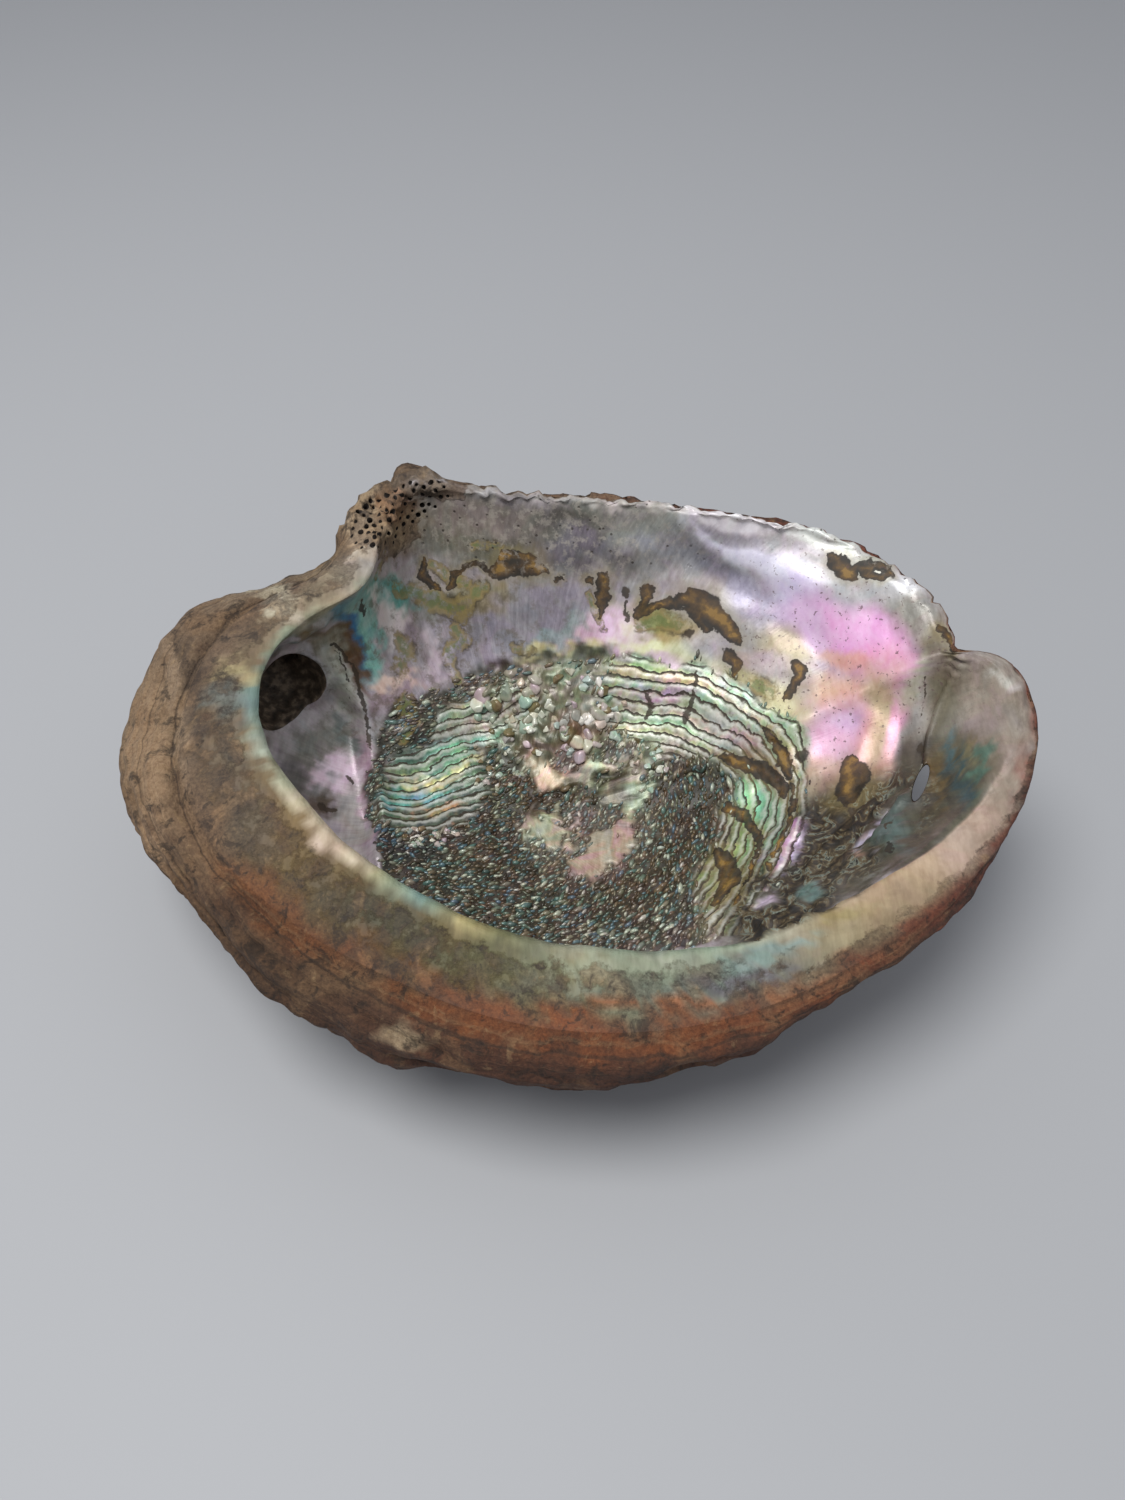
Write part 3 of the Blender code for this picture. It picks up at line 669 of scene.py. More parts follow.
def shell_vertices():
    """The pressed and carved ball in the frame's metres, with each vertex's part, share and bearing."""
    ball = bmesh.new()
    bmesh.ops.create_uvsphere(ball, u_segments=AROUND, v_segments=len(plan) - 1, radius=1.0)
    start = np.array([vert.co for vert in ball.verts])
    ring = np.round(np.arccos(np.clip(start[:, 2], -1, 1)) / math.pi * (len(plan) - 1)).astype(int)
    bearing = np.arctan2(start[:, 1], start[:, 0])
    part, share = (np.array(column)[ring] for column in zip(*plan))
    co, relief = np.empty_like(start), np.empty(len(start))
    for kind, (surface_points, carving) in PARTS.items():
        here = part == kind
        co[here] = surface_points(share[here], bearing[here])
        relief[here] = carving(co[here], share[here], bearing[here])
    place_vertices(ball, co)
    ball.normal_update()
    co += np.array([vert.normal for vert in ball.verts]) * relief[:, None]
    co = in_frame(co)
    co[:, 2] = np.maximum(co[:, 2], 0)
    place_vertices(ball, co)
    return ball, part, share, bearing


ball, part, share, bearing = shell_vertices()
surface = np.array([vert.co for vert in ball.verts])
print("ball:", len(surface), "vertices")

# %% [markdown]
# The poles of a sphere crowd hundreds of needle-thin faces into a few millimetres. Every second spoke is
# dissolved around both poles, and the surface stays closed.

# %% Thinning the poles
THINNED_INSIDE, THINNED_BACK = 22, 14


def thin_poles(made):
    """Dissolves every second spoke near the bowl's floor and near the spire's tip."""
    inner_limit, back_limit = plan[THINNED_INSIDE][1], plan[-THINNED_BACK - 1][1]
    near = ((part == "inside") & (share < inner_limit)) | ((part == "back") & (share < back_limit))
    column = np.round(bearing / FULL_TURN * AROUND).astype(int) % AROUND
    spokes = []
    made.verts.index_update()
    for edge in made.edges:
        first, second = (vert.index for vert in edge.verts)
        along_ring = part[first] == part[second] and share[first] == share[second]
        outer = first if share[first] > share[second] else second
        if not along_ring and near[outer] and column[outer] % 2:
            spokes.append(edge)
    bmesh.ops.dissolve_edges(made, edges=spokes, use_verts=True)


thin_poles(ball)
print("after thinning:", len(ball.verts), "vertices")

# %% [markdown]
# ## Openings
#
# Three kinds of hole go through or into the wall: the winding hollow of the spire at the left, the one
# breathing hole that is still open, and the pits of a boring sponge in the flange at the back left. Each is
# a cutter for a Boolean, and each brings the finish of its own walls.

# %% Hollow of the spire
SPIRE_HOLLOW = [
    (-62, 24.5, -20, 10.4), (-66, 29.5, -21.5, 10.6), (-70, 35, -21.8, 10.0), (-72, 40.5, -20.5, 8.6),
    (-71.5, 47, -20, 6.4), (-65, 50.5, -20, 4.4)]
HOLLOW_LOOPS, HOLLOW_SIDES = 17, 56


def lay_along(point, way):
    """A matrix that lays a shape's own z along a way and puts it at a point."""
    return Matrix.Translation(point) @ Vector(way).to_track_quat("Z", "Y").to_matrix().to_4x4()


def spire_tube():
    """The widening tube of the spire's hollow, as loops bridged one to the next."""
    stops = np.arange(len(SPIRE_HOLLOW), dtype=float)
    loops = smooth_row(stops, np.array(SPIRE_HOLLOW), np.linspace(0, stops[-1], HOLLOW_LOOPS))
    centres = in_frame(loops[:, :3])
    made = bmesh.new()
    rings = []
    for number, (centre, way, radius) in enumerate(zip(centres, np.gradient(centres, axis=0), loops[:, 3])):
        ends = number in (0, HOLLOW_LOOPS - 1)
        ring = bmesh.ops.create_circle(made, cap_ends=ends, radius=radius * MM, segments=HOLLOW_SIDES,
                                       matrix=lay_along(Vector(centre), way))
        rings.append(set(ring["verts"]))
    for pair in zip(rings, rings[1:]):
        edges = [edge for edge in made.edges if any(all(v in ring for v in edge.verts) for ring in pair)]
        bmesh.ops.bridge_loops(made, edges=edges)
    bmesh.ops.recalc_face_normals(made, faces=made.faces)
    return made


tree = BVHTree.FromBMesh(ball)
cutters = {"spire_cave": spire_tube()}
print("spire's hollow:", len(cutters["spire_cave"].faces), "faces")

# %% [markdown]
# The open hole and the sponge's pits are pegs. Each is sunk into the place that a line of sight from the
# photo meets, so they come out where they are seen. The pits are scattered, and a pit too close to another
# is left out.

# %% Pegs for the holes
BREATHING_HOLE_SEEN, BREATHING_HALF_SIZE, PEG_LENGTH = (922, 782), (1.3, 4.5), 60
SPONGE_SEEN = [
    (350, 522), (360, 500), (385, 490), (410, 478), (440, 478), (455, 492), (430, 506), (410, 520),
    (398, 540), (372, 548), (352, 542)]
SPONGE_BOX, SPONGE_TRIES = ((345, 474), (460, 550)), 1500
SPONGE_PIT_GAP, SPONGE_PIT_DEPTH, SPONGE_PIT_RADII = 6.6, 2.3, (0.4, 0.85)
rng = np.random.default_rng(23)


def peg(made, sides, radii, depth, matrix):
    """A closed peg, with the radii of its two ends."""
    bmesh.ops.create_cone(made, cap_ends=True, segments=sides, radius1=radii[0], radius2=radii[1],
                          depth=depth, matrix=matrix)


def breathing_peg():
    """A peg through the wall where the last open breathing hole is seen, slanting as the hole does."""
    start, way = sight_line(*BREATHING_HOLE_SEEN)
    made = bmesh.new()
    oval = Matrix.Diagonal((BREATHING_HALF_SIZE[0] * MM, BREATHING_HALF_SIZE[1] * MM, 1, 1))
    peg(made, 40, (1, 1), PEG_LENGTH * MM, lay_along(tree.ray_cast(start, way)[0], way) @ oval)
    return made


def sponge_pegs():
    """Short pegs at scattered photo places of the bored flange, sunk square into what is seen there."""
    made = bmesh.new()
    tries = rng.uniform(*SPONGE_BOX, (SPONGE_TRIES, 2))
    kept = []
    for u, v in tries[within(*tries.T, SPONGE_SEEN) > 0]:
        if any(math.hypot(u - a, v - b) < SPONGE_PIT_GAP for a, b in kept):
            continue
        place, normal, _, _ = tree.ray_cast(*sight_line(u, v))
        if place is None:
            continue
        kept.append((u, v))
        radius = rng.uniform(*SPONGE_PIT_RADII) * MM
        peg(made, 10, (radius * 0.8, radius), 2 * SPONGE_PIT_DEPTH * MM, lay_along(place, normal))
    return made, len(kept)


cutters["breathing_hole"] = breathing_peg()
cutters["sponge_pits"], pits = sponge_pegs()
print(pits, "sponge pits")

# %% [markdown]
# ## Painting
#
# Real nacre takes its colour from the thickness of its layers, so hues drift in soft clouds. They are laid
# on here as named strokes: a place in the photo, a size, a turn, a colour and how strongly it covers what
# lies below. Each is bent by soft noise, so no stroke keeps a plain round outline.

# %% Colour codes
def colour(code):
    """A hex colour code as linear red, green and blue."""
    parts = np.array([int(code[i:i + 2], 16) for i in (0, 2, 4)]) / 255
    return np.where(parts <= 0.04045, parts / 12.92, ((parts + 0.055) / 1.055) ** 2.4)


BARE_PEARL = "b3adb0"
print("bare pearl is", colour(BARE_PEARL).round(2))

# %% [markdown]
# Each stroke is a soft ellipse: its middle and half sizes in the photo, its turn in degrees, its colour and
# how densely it covers. First the polished wall, from the dull shelf under the back rim to the dark lobe at
# the right. Some of these strokes are painted light and shade: the sheen of the lit right wall, highlights
# above the scar and on the lobe, and shade along a fold and beside the lobe.

# %% Strokes of the wall
PEARL_STROKES = {
    "dull shelf below the back rim": [
        (520, 530, 175, 40, 6, "55524a", 0.95), (690, 548, 70, 22, 15, "8e8c94", 0.8),
        (455, 512, 70, 24, 8, "8a8078", 0.8), (640, 520, 60, 14, 8, "8a8a80", 0.6),
        (575, 545, 44, 16, 6, "6a6370", 0.7), (470, 548, 50, 16, 4, "6f6c5c", 0.6)],
    "white of the back rim": [
        (735, 512, 140, 12, 13, "e6e2e4", 0.9), (620, 500, 60, 7, 4, "c4bdb8", 0.7),
        (830, 540, 60, 16, 28, "d6d8d2", 0.8)],
    "folds and painted sheen of the right wall": [
        # The palest lavender-white strokes here are lavender pearl lightened as painted sheen of the lit
        # wall.
        (757, 558, 76, 13, 27, "e2e0ee", 0.9), (740, 534, 44, 8, 18, "8d8c92", 0.7),
        (722, 574, 36, 12, 28, "726e7a", 0.85), (806, 594, 40, 26, 34, "e0d6ee", 0.95),
        (852, 592, 44, 18, 24, "b7b5b8", 0.8), (764, 606, 40, 20, 36, "aea3bc", 0.8),
        (912, 583, 16, 11, 50, "e8e6ea", 0.95)],
    "grey near the rim": [
        (908, 622, 30, 34, 48, "8b857c", 0.9), (936, 640, 16, 26, 30, "77694c", 0.8),
        (925, 655, 34, 10, 10, "6f6658", 0.8)],
    "lavender behind the scar": [
        (510, 640, 112, 50, -4, "8c8890", 0.9), (430, 655, 45, 50, 0, "9a8e96", 0.7),
        (506, 596, 30, 10, -10, "a29ea4", 0.7), (486, 660, 16, 24, 10, "a9a2ae", 0.7),
        (560, 596, 66, 20, 4, "84808a", 0.7), (436, 606, 50, 16, 6, "808070", 0.7)],
    "grey green beside the lavender": [
        (380, 600, 26, 22, 20, "6f7a60", 0.7), (478, 596, 24, 20, 20, "867a52", 0.8)],
    "streaks of pink and gold": [
        (596, 634, 42, 16, -10, "dcbccb", 0.85), (570, 652, 56, 10, -10, "d6cc9c", 0.9),
        (606, 612, 18, 14, 0, "c4c4a0", 0.5), (560, 632, 24, 10, -30, "7fa39a", 0.6)],
    "bright band above the scar, with a painted highlight": [
        # The pinkish white stroke at 628 across is a painted highlight on the pink band.
        (628, 632, 32, 26, 30, "f2d0ec", 0.95), (668, 652, 54, 14, 18, "e6e8ba", 0.9),
        (651, 616, 30, 14, 10, "8f9a4a", 0.85), (676, 632, 16, 14, 30, "b7a060", 0.8),
        (655, 664, 60, 9, 10, "d6bcd0", 0.7), (712, 672, 36, 13, 28, "bcb6a8", 0.8)],
    "island in the brown": [(718, 642, 14, 7, 24, "c0b8c4", 0.95)],
    "hot pink": [
        (850, 634, 62, 30, 26, "f0b8e2", 1.0), (806, 622, 34, 20, 40, "e8cbe8", 0.9),
        (884, 672, 26, 26, 40, "eeaccc", 0.85), (850, 664, 30, 8, 14, "e6b498", 0.7)],
    "gold below the lavender": [
        (784, 642, 30, 18, 30, "b5a682", 0.8), (760, 662, 28, 14, 20, "bdaeb0", 0.8)],
    # These greyer lines are painted shade along the lower edge of the hot pink fold.
    "painted shade along the fold in the pink": [(828, 672, 36, 6, 16, "b8a0b4", 0.6), (862, 694, 16, 18, -30, "c4a8ac", 0.6)],
    "yellow beside the plates": [
        (784, 706, 30, 18, 30, "d4cc9c", 0.85), (748, 684, 22, 12, 30, "a2986a", 0.85),
        (797, 744, 14, 34, -6, "dcd2a8", 0.85)],
    "peach and lilac": [
        (838, 694, 32, 18, 8, "e2b694", 0.85), (838, 732, 36, 38, 10, "e6b8d2", 0.92),
        (838, 718, 14, 12, 0, "e2cbe8", 0.6), (866, 738, 16, 30, 8, "dea49e", 0.7),
        (822, 778, 30, 20, -10, "dab4aa", 0.85), (808, 790, 12, 14, 0, "c6bc98", 0.6)],
    "olive beige and painted shade beside the lobe": [
        (882, 716, 18, 50, 6, "bca684", 0.9), (903, 716, 9, 36, 18, "eca8cc", 0.9),
        (916, 684, 9, 28, 18, "bfcaa8", 0.8), (886, 766, 14, 20, 6, "daa69c", 0.9),
        # The dark stroke at 911 across is painted shade between the pink wall and the lobe.
        (888, 788, 16, 7, -10, "a2c0a4", 0.8), (911, 768, 13, 42, 8, "544c42", 0.95)],
    "blue and teal at the left": [
        (390, 640, 34, 50, 0, "a2989c", 0.8), (372, 652, 13, 46, -14, "84c4b8", 0.9),
        (354, 636, 10, 52, -16, "2e78ae", 0.97), (380, 594, 28, 13, -10, "62a8a2", 0.9),
        (343, 596, 12, 26, 0, "4f808a", 0.8), (386, 618, 10, 30, -24, "e4dcda", 0.9),
        (428, 660, 9, 40, 4, "c8bac2", 0.85), (382, 696, 14, 26, 0, "b0a0ae", 0.8),
        (404, 702, 20, 26, 0, "a48e96", 0.7), (398, 676, 16, 8, 10, "e6c8ba", 0.85),
        (432, 706, 16, 30, -20, "a49ca6", 0.7)],
    "ground left of the hole": [
        (300, 590, 60, 26, -24, "a39882", 0.85), (286, 622, 40, 14, -40, "6f7f78", 0.8),
        (268, 640, 34, 12, -42, "4d7c80", 0.85), (252, 690, 10, 46, 4, "527d78", 0.85)],
    "skin round the spire hole": [
        (322, 634, 38, 11, 24, "66502e", 0.95), (360, 664, 9, 38, -26, "6c4d2a", 0.95),
        (262, 690, 10, 50, 0, "5a4a34", 0.7)],
    "behind the spire hole": [
        (342, 676, 14, 44, -30, "b4b6ac", 0.95), (338, 664, 4, 20, -34, "5c5a4c", 0.7),
        (320, 740, 36, 18, -16, "85837c", 0.95), (334, 772, 20, 17, 0, "e6d0de", 0.95),
        (350, 735, 9, 22, -20, "566a66", 0.6), (367, 790, 8, 62, -6, "b79aac", 0.85),
        (352, 822, 13, 36, -8, "a59a96", 0.85), (322, 808, 14, 14, 0, "54432c", 0.9),
        (300, 776, 16, 24, -20, "4d4a40", 0.8)],
    "right lobe with a painted highlight": [
        (990, 724, 66, 92, -24, "84776a", 0.97), (946, 706, 16, 46, 8, "655c48", 0.9),
        # The pale stroke at 1002 across is a painted highlight on the lobe's upper right.
        (1002, 680, 22, 7, 20, "c4c0ba", 0.7), (985, 720, 30, 14, -10, "857a78", 0.6),
        (954, 778, 42, 52, 12, "47432f", 0.95), (966, 780, 7, 36, 14, "27444a", 0.85),
        (986, 766, 5, 26, 24, "3f6458", 0.7), (976, 754, 4, 26, 20, "6e6240", 0.7),
        (968, 822, 26, 16, -40, "6a6250", 0.9), (955, 752, 4, 30, 6, "3c5a62", 0.7),
        (940, 790, 7, 40, 6, "6a5226", 0.9), (948, 800, 5, 30, 10, "2a2a20", 0.85),
        (932, 748, 9, 16, 0, "30251c", 0.9), (930, 828, 40, 20, -34, "545142", 0.92)],
}
print(sum(len(group) for group in PEARL_STROKES.values()), "strokes on the wall")

# %% [markdown]
# The scar has its own ground, dark between the plates and grains, where it is partly painted shade, and
# bright on the plates. The trough along the row of holes is nearly black, and the healed holes shine in it.

# %% Strokes of the scar and the trough
SCAR_STROKES = {
    "dark ground and painted shade of the scar": [(590, 800, 230, 160, 0, "524a34", 1.0)],
    # The chunky part's dark ground is partly painted shade in the bed between the nodules.
    "chunky pearl": [(545, 705, 84, 50, -10, "6a6454", 0.9), (590, 730, 26, 20, 0, "6a5436", 0.7)],
    "terraces": [
        (690, 704, 120, 44, 16, "b2c2a8", 0.95), (740, 724, 50, 26, 24, "b29aa2", 0.6),
        (652, 680, 50, 9, 8, "cdc4a8", 0.8), (644, 668, 60, 5, 10, "c8cc96", 0.8),
        (655, 690, 40, 5, 8, "c6a8c6", 0.8), (730, 690, 40, 14, 24, "b8c0ae", 0.7)],
    "upper left plates": [(486, 716, 60, 28, -26, "a9ac9c", 0.9)],
    "left stripes": [
        (436, 782, 60, 44, -22, "5a7c6e", 0.95), (462, 748, 40, 6, -14, "8cc8a8", 0.8),
        (450, 764, 44, 5, -12, "dce0b4", 0.9), (424, 778, 30, 5, -12, "e0d2a8", 0.8),
        (414, 796, 32, 6, -12, "6cb0c0", 0.9), (440, 812, 26, 5, -12, "d0a074", 0.85)],
    "lower left": [(480, 880, 120, 60, 18, "4c4a3c", 0.8), (420, 848, 40, 16, 0, "44535c", 0.8)],
    "smooth patches": [
        (600, 840, 60, 40, -20, "b8a498", 0.9), (545, 828, 30, 20, 10, "b0aa98", 0.9),
        (640, 790, 14, 30, 30, "b4b8a4", 0.8), (556, 764, 34, 12, -14, "d4bca8", 0.9),
        (616, 748, 34, 18, -30, "c8ccb2", 0.9), (560, 806, 14, 12, 0, "8f9a74", 0.7)],
    "right margin": [
        (752, 800, 24, 26, 34, "a0d8b8", 0.95), (735, 868, 26, 50, 16, "a3b486", 0.8),
        (716, 920, 26, 26, 0, "b0aa90", 0.7), (776, 770, 36, 12, 36, "6a4c28", 0.85),
        (777, 850, 9, 44, 18, "b9acb8", 0.85), (766, 846, 5, 40, 18, "86c2a4", 0.8),
        (790, 810, 6, 40, 12, "8aa094", 0.7)],
}
TROUGH_STROKES = {
    "dark trough": [
        (850, 822, 84, 46, -28, "3b3222", 0.97), (780, 905, 60, 46, -40, "4a4434", 0.9),
        (884, 858, 60, 22, -34, "46402e", 0.92)],
    "healed holes": [
        (789, 847, 12, 30, 28, "c0acca", 0.97), (765, 899, 16, 9, -14, "c4b4c8", 0.95),
        (811, 893, 13, 9, -20, "6f8c88", 0.85), (898, 828, 13, 26, 24, "586a66", 0.85),
        (872, 836, 5, 24, 28, "cfc6dc", 0.9), (858, 850, 7, 20, 24, "a58470", 0.8),
        (836, 858, 12, 14, 10, "5e6650", 0.8)],
}
print(sum(len(group) for group in SCAR_STROKES.values()), "strokes in the scar")

# %% [markdown]
# The lip changes colour along its length, so it has a table of bearings: a thin bright line along the inner
# crest, a dull band, the red-brown outer edge and the back below it. Strokes add the patches that a table
# can't.

# %% Colours of the lip and the back
LIP_COLOURS = [  # bearing, inner line, band, outer edge, back
    (4, "a59a90", "8a7f74", "7a4432", "6a3a2c"), (30, "cfcac8", "b0a8a4", "7c3f2e", "6c3e2e"),
    (60, "c6c0ba", "b2aaa4", "7a4634", "6e4030"), (80, "b6b0a6", "a09890", "86705c", "6e4a38"),
    (105, "a89e92", "8a8074", "6a5a48", "6a5040"), (125, "77706a", "6e6254", "6b5a48", "75624e"),
    (150, "a3987e", "857660", "7e6752", "7c6650"), (165, "7f8c78", "75664f", "7c6550", "7e6852"),
    (178, "617873", "6e5638", "8a745a", "907a60"), (190, "a8b29c", "6e5a3e", "8a745c", "8c765c"),
    (203, "b8ac90", "6e5a3a", "866a50", "806850"), (215, "c8b4a0", "665332", "77502f", "654c36"),
    (226, "b4b08c", "5e4f31", "7c4e2e", "5c442f"), (236, "7da39a", "5b4f31", "744828", "58402c"),
    (246, "a59668", "5e5433", "784828", "563a28"), (256, "747852", "68603f", "7a4928", "563726"),
    (270, "9ca08a", "7d7759", "824c2a", "553524"), (285, "90a28e", "7f8672", "844e2b", "563626"),
    (300, "9aa490", "76786c", "7e4a2c", "5a3828"), (315, "a3957a", "8f8062", "844c31", "5a3828"),
    (330, "b09a80", "99846a", "7a4431", "583428"), (345, "aa968a", "8f7f70", "713c2c", "6a3a2c")]
OUTER_STROKES = {
    "left side": [
        (146, 780, 18, 100, 0, "a88c6e", 0.8), (176, 700, 9, 80, -8, "a48e76", 0.7),
        (197, 700, 7, 70, -12, "4f4136", 0.85), (212, 770, 8, 50, -16, "4e4238", 0.6),
        (232, 640, 50, 20, -34, "74604c", 0.7), (238, 800, 22, 70, -16, "5f5446", 0.7)],
    "blue grey and cream patches": [
        (228, 700, 18, 18, 0, "626e6c", 0.7), (233, 668, 18, 11, 0, "a99c74", 0.75),
        (238, 735, 14, 16, 0, "55534a", 0.6)],
    "pale striated band": [
        (276, 594, 38, 9, 38, "bbb29c", 0.9), (240, 584, 34, 8, -26, "9c8a72", 0.6),
        (330, 560, 60, 10, -14, "8a7a62", 0.7)],
    "orange of the lower left": [
        (252, 900, 50, 18, 40, "85522c", 0.7), (190, 830, 20, 60, -10, "80654c", 0.5)],
    "olive of the front left": [
        (400, 930, 60, 16, 28, "4b4836", 0.8), (330, 905, 40, 16, 40, "57503e", 0.7),
        (520, 962, 70, 12, 8, "5f6044", 0.6)],
    "front": [
        (640, 964, 90, 10, 0, "9aa08a", 0.7), (775, 952, 60, 8, -20, "7f9892", 0.7),
        (730, 980, 70, 7, -12, "64606a", 0.7), (610, 990, 110, 9, 0, "6f7468", 0.6),
        (650, 1008, 190, 7, -4, "96562c", 0.75), (470, 1002, 60, 8, 14, "85502e", 0.7)],
    "right": [
        (885, 892, 60, 16, -36, "b09a7c", 0.7), (850, 915, 26, 12, -20, "8c7d4c", 0.7),
        (970, 836, 40, 26, -50, "b1998a", 0.7), (1028, 740, 10, 60, 4, "7a4030", 0.8)],
    "barnacle": [(400, 1037, 22, 12, 10, "ab987c", 0.9)],
    "flange": [
        (378, 516, 38, 32, 0, "b09a7c", 0.95), (432, 482, 40, 9, 0, "80705e", 0.9),
        (392, 500, 20, 12, -30, "8a5a34", 0.6), (358, 530, 12, 20, 0, "c8b49a", 0.8)],
}
print(len(LIP_COLOURS), "bearings of lip colours")

# %% [markdown]
# A brush lays the strokes over a ground colour. The photo places are bent by noise first, because nothing
# on a shell has the outline of an ellipse.

# %% Brushes
POLISHED_SEEN = ((820, 650), (170, 160), 20)
BAND_ENDS = ((0.02, 0.24), (0.72, 1.0), (1.03, 1.35))
BACK_SPREAD = 6


def bent_places(points, u, v):
    """Photo places bent by noise, less so on the polished right wall."""
    ragged = 1 - 0.8 * spot(u, v, *POLISHED_SEEN, soft=0.3)
    return (u + rough(points, (10, 12, 91)) + ragged * rough(points, (7, 4, 92), (4, 1.8, 97)),
            v + rough(points, (8, 9, 93)) + ragged * rough(points, (6, 3.5, 94), (4, 1.6, 98)))


def paint(strokes, u, v, ground):
    """Lays strokes over a ground colour."""
    for group in strokes.values():
        for across, down, half_width, half_height, turn, code, cover in group:
            mask = spot(u, v, (across, down), (half_width, half_height), turn, soft=0.5)[:, None] * cover
            ground = ground * (1 - mask) + colour(code) * mask
    return ground


def paint_outside(kind, share, bearing, wobble):
    """The colours across the lip and down the back, from the table of bearings."""
    stops = np.array([row[0] for row in LIP_COLOURS], float)
    across = np.where(kind == "lip", share, np.where(kind == "back", 1 + BACK_SPREAD * (1 - share), 0))
    across = across + wobble
    tones = []
    for codes in list(zip(*LIP_COLOURS))[1:]:
        parts = np.array([colour(code) for code in codes]).T
        tones.append(np.stack([np.interp(in_degrees(bearing), stops, part, period=360) for part in parts], 1))
    tone = tones[0]
    for below, ends in zip(tones[1:], BAND_ENDS):
        mask = fade(across, *ends)[:, None]
        tone = tone * (1 - mask) + below * mask
    return tone


print(sum(len(group) for group in OUTER_STROKES.values()), "strokes outside")

# %% [markdown]
# Stains are different: they have crisp borders where a brown film has crept in. A stain is a chain of
# places in the photo with a half width at each, and every place is dropped onto the bowl along the line of
# sight, so that the chain becomes a row of balls in space and the stain is where they meet the surface.

# %% Stains
BROWN_CHAINS = [
    [(422, 562, 3), (424, 576, 5), (432, 586, 3), (443, 591, 2), (452, 584, 4), (455, 573, 4),
     (465, 566, 2.5), (480, 564, 2), (490, 571, 3)],
    [(490, 571, 4), (502, 569, 8), (518, 570, 7), (533, 565, 9), (545, 568, 4)],
    [(502, 557, 4), (528, 558, 5)], [(556, 580, 3.5), (563, 577, 2.5)], [(590, 580, 4.5), (592, 582, 3)],
    [(604, 574, 5), (604, 596, 5), (601, 616, 2)], [(646, 592, 6), (644, 606, 4), (637, 616, 3)],
    [(640, 612, 4), (660, 607, 3), (676, 603, 5)],
    [(676, 602, 6), (690, 600, 10), (704, 608, 13), (718, 620, 11), (736, 638, 5)],
    [(698, 616, 6), (706, 632, 3)], [(728, 656, 6), (736, 662, 6), (735, 674, 3)],
    [(798, 667, 7), (799, 678, 6), (792, 690, 4), (786, 698, 2)],
    [(832, 554, 3), (838, 564, 7), (850, 574, 6), (858, 564, 4), (870, 563, 6)],
    [(866, 572, 4), (874, 562, 4), (886, 563, 5), (889, 573, 4), (879, 578, 4), (866, 574, 4)],
    [(938, 628, 5), (949, 634, 6), (952, 648, 4)],
    [(855, 757, 3), (847, 768, 8), (854, 777, 13), (848, 790, 12)],
    [(720, 757, 3), (744, 764, 7), (768, 774, 9), (786, 792, 5)],
    [(728, 806, 4), (744, 818, 6), (758, 838, 4)],
    [(716, 850, 5), (726, 862, 9), (728, 882, 9), (716, 902, 5)],
    [(764, 728, 3), (782, 752, 5), (794, 790, 4)], [(794, 790, 4), (788, 826, 3), (768, 866, 3)],
    [(758, 838, 4), (752, 866, 3), (736, 900, 3)]]
OLIVE_CHAINS = [
    [(398, 638, 5), (407, 650, 11), (400, 664, 8)],
    [(455, 628, 5), (463, 642, 8), (449, 656, 7), (458, 682, 4)],
    [(396, 590, 6), (416, 592, 8), (440, 601, 9), (458, 612, 10), (470, 598, 8), (484, 586, 5)],
    [(404, 700, 8), (411, 720, 9), (402, 738, 5)], [(514, 647, 5), (530, 650, 6)],
    [(474, 546, 5), (497, 548, 4)], [(384, 556, 5), (376, 574, 4)],
    [(640, 624, 5), (662, 620, 9), (682, 628, 7)], [(754, 684, 7), (772, 690, 7)],
    [(590, 596, 4), (604, 628, 3)], [(432, 566, 4), (466, 584, 6)]]
CRACK_AND_SHADE_CHAINS = [
    [(626, 590, 4.5), (626, 600, 1.5), (628, 620, 2)],
    [(455, 573, 2), (466, 565, 2), (482, 564, 2), (492, 573, 2)], [(690, 636, 5)],
    [(362, 600, 2), (361, 608, 5), (363, 616, 2)], [(796, 755, 3), (802, 754, 6)],
    [(345, 780, 2), (350, 783, 2)], [(322, 806, 5), (338, 812, 2)],
    [(330, 641, 2), (352, 666, 2.5), (364, 700, 3), (369, 740, 2.5), (375, 790, 2.5), (380, 850, 3)],
    [(333, 652, 1), (346, 672, 1.2), (353, 700, 1)], [(698, 672, 1.5), (690, 700, 2), (684, 722, 2.5)],
    [(644, 688, 1.5), (652, 704, 2.5), (645, 724, 2.5)],
    # Painted shade beside the fold of the lobe's left edge.
    [(927, 672, 0.8), (922, 704, 1.1), (920, 740, 1.4), (924, 758, 3)],
    [(806, 832, 1.5), (798, 866, 1.5), (776, 880, 1.5)], [(890, 850, 3), (886, 826, 2), (900, 800, 2)],
    [(838, 797, 3), (856, 812, 3), (872, 800, 2)]]
STAIN_SPREAD = 1.3


def dropped(chains):
    """Chains of photo places as pairs of places on the bowl with their half widths, in the frame's metres."""
    pairs = []
    for chain in chains:
        landed = []
        for u, v, half in chain:
            start, way = sight_line(u, v)
            hit, _, _, away = tree.ray_cast(start, way)
            landed.append((hit, STAIN_SPREAD * half * away / FOCAL_PIXELS))
        pairs += list(zip(landed, landed[1:] or landed))
    return pairs


brown_pairs, olive_pairs, crack_and_shade_pairs = dropped(BROWN_CHAINS), dropped(OLIVE_CHAINS), dropped(CRACK_AND_SHADE_CHAINS)
print("links:", len(brown_pairs), "brown,", len(olive_pairs), "olive,", len(crack_and_shade_pairs), "dark")

# %% [markdown]
# Everything else that a finish needs to know about a place is worked out once for each vertex and stored
# there as a smooth value.

# %% Painting the vertices
GRAIN_BED_SHADE_COLOUR, GRAIN_BED_SHADE_COVER = "30271c", 0.85
FULL_LIP = (125, 150, 345, 359)


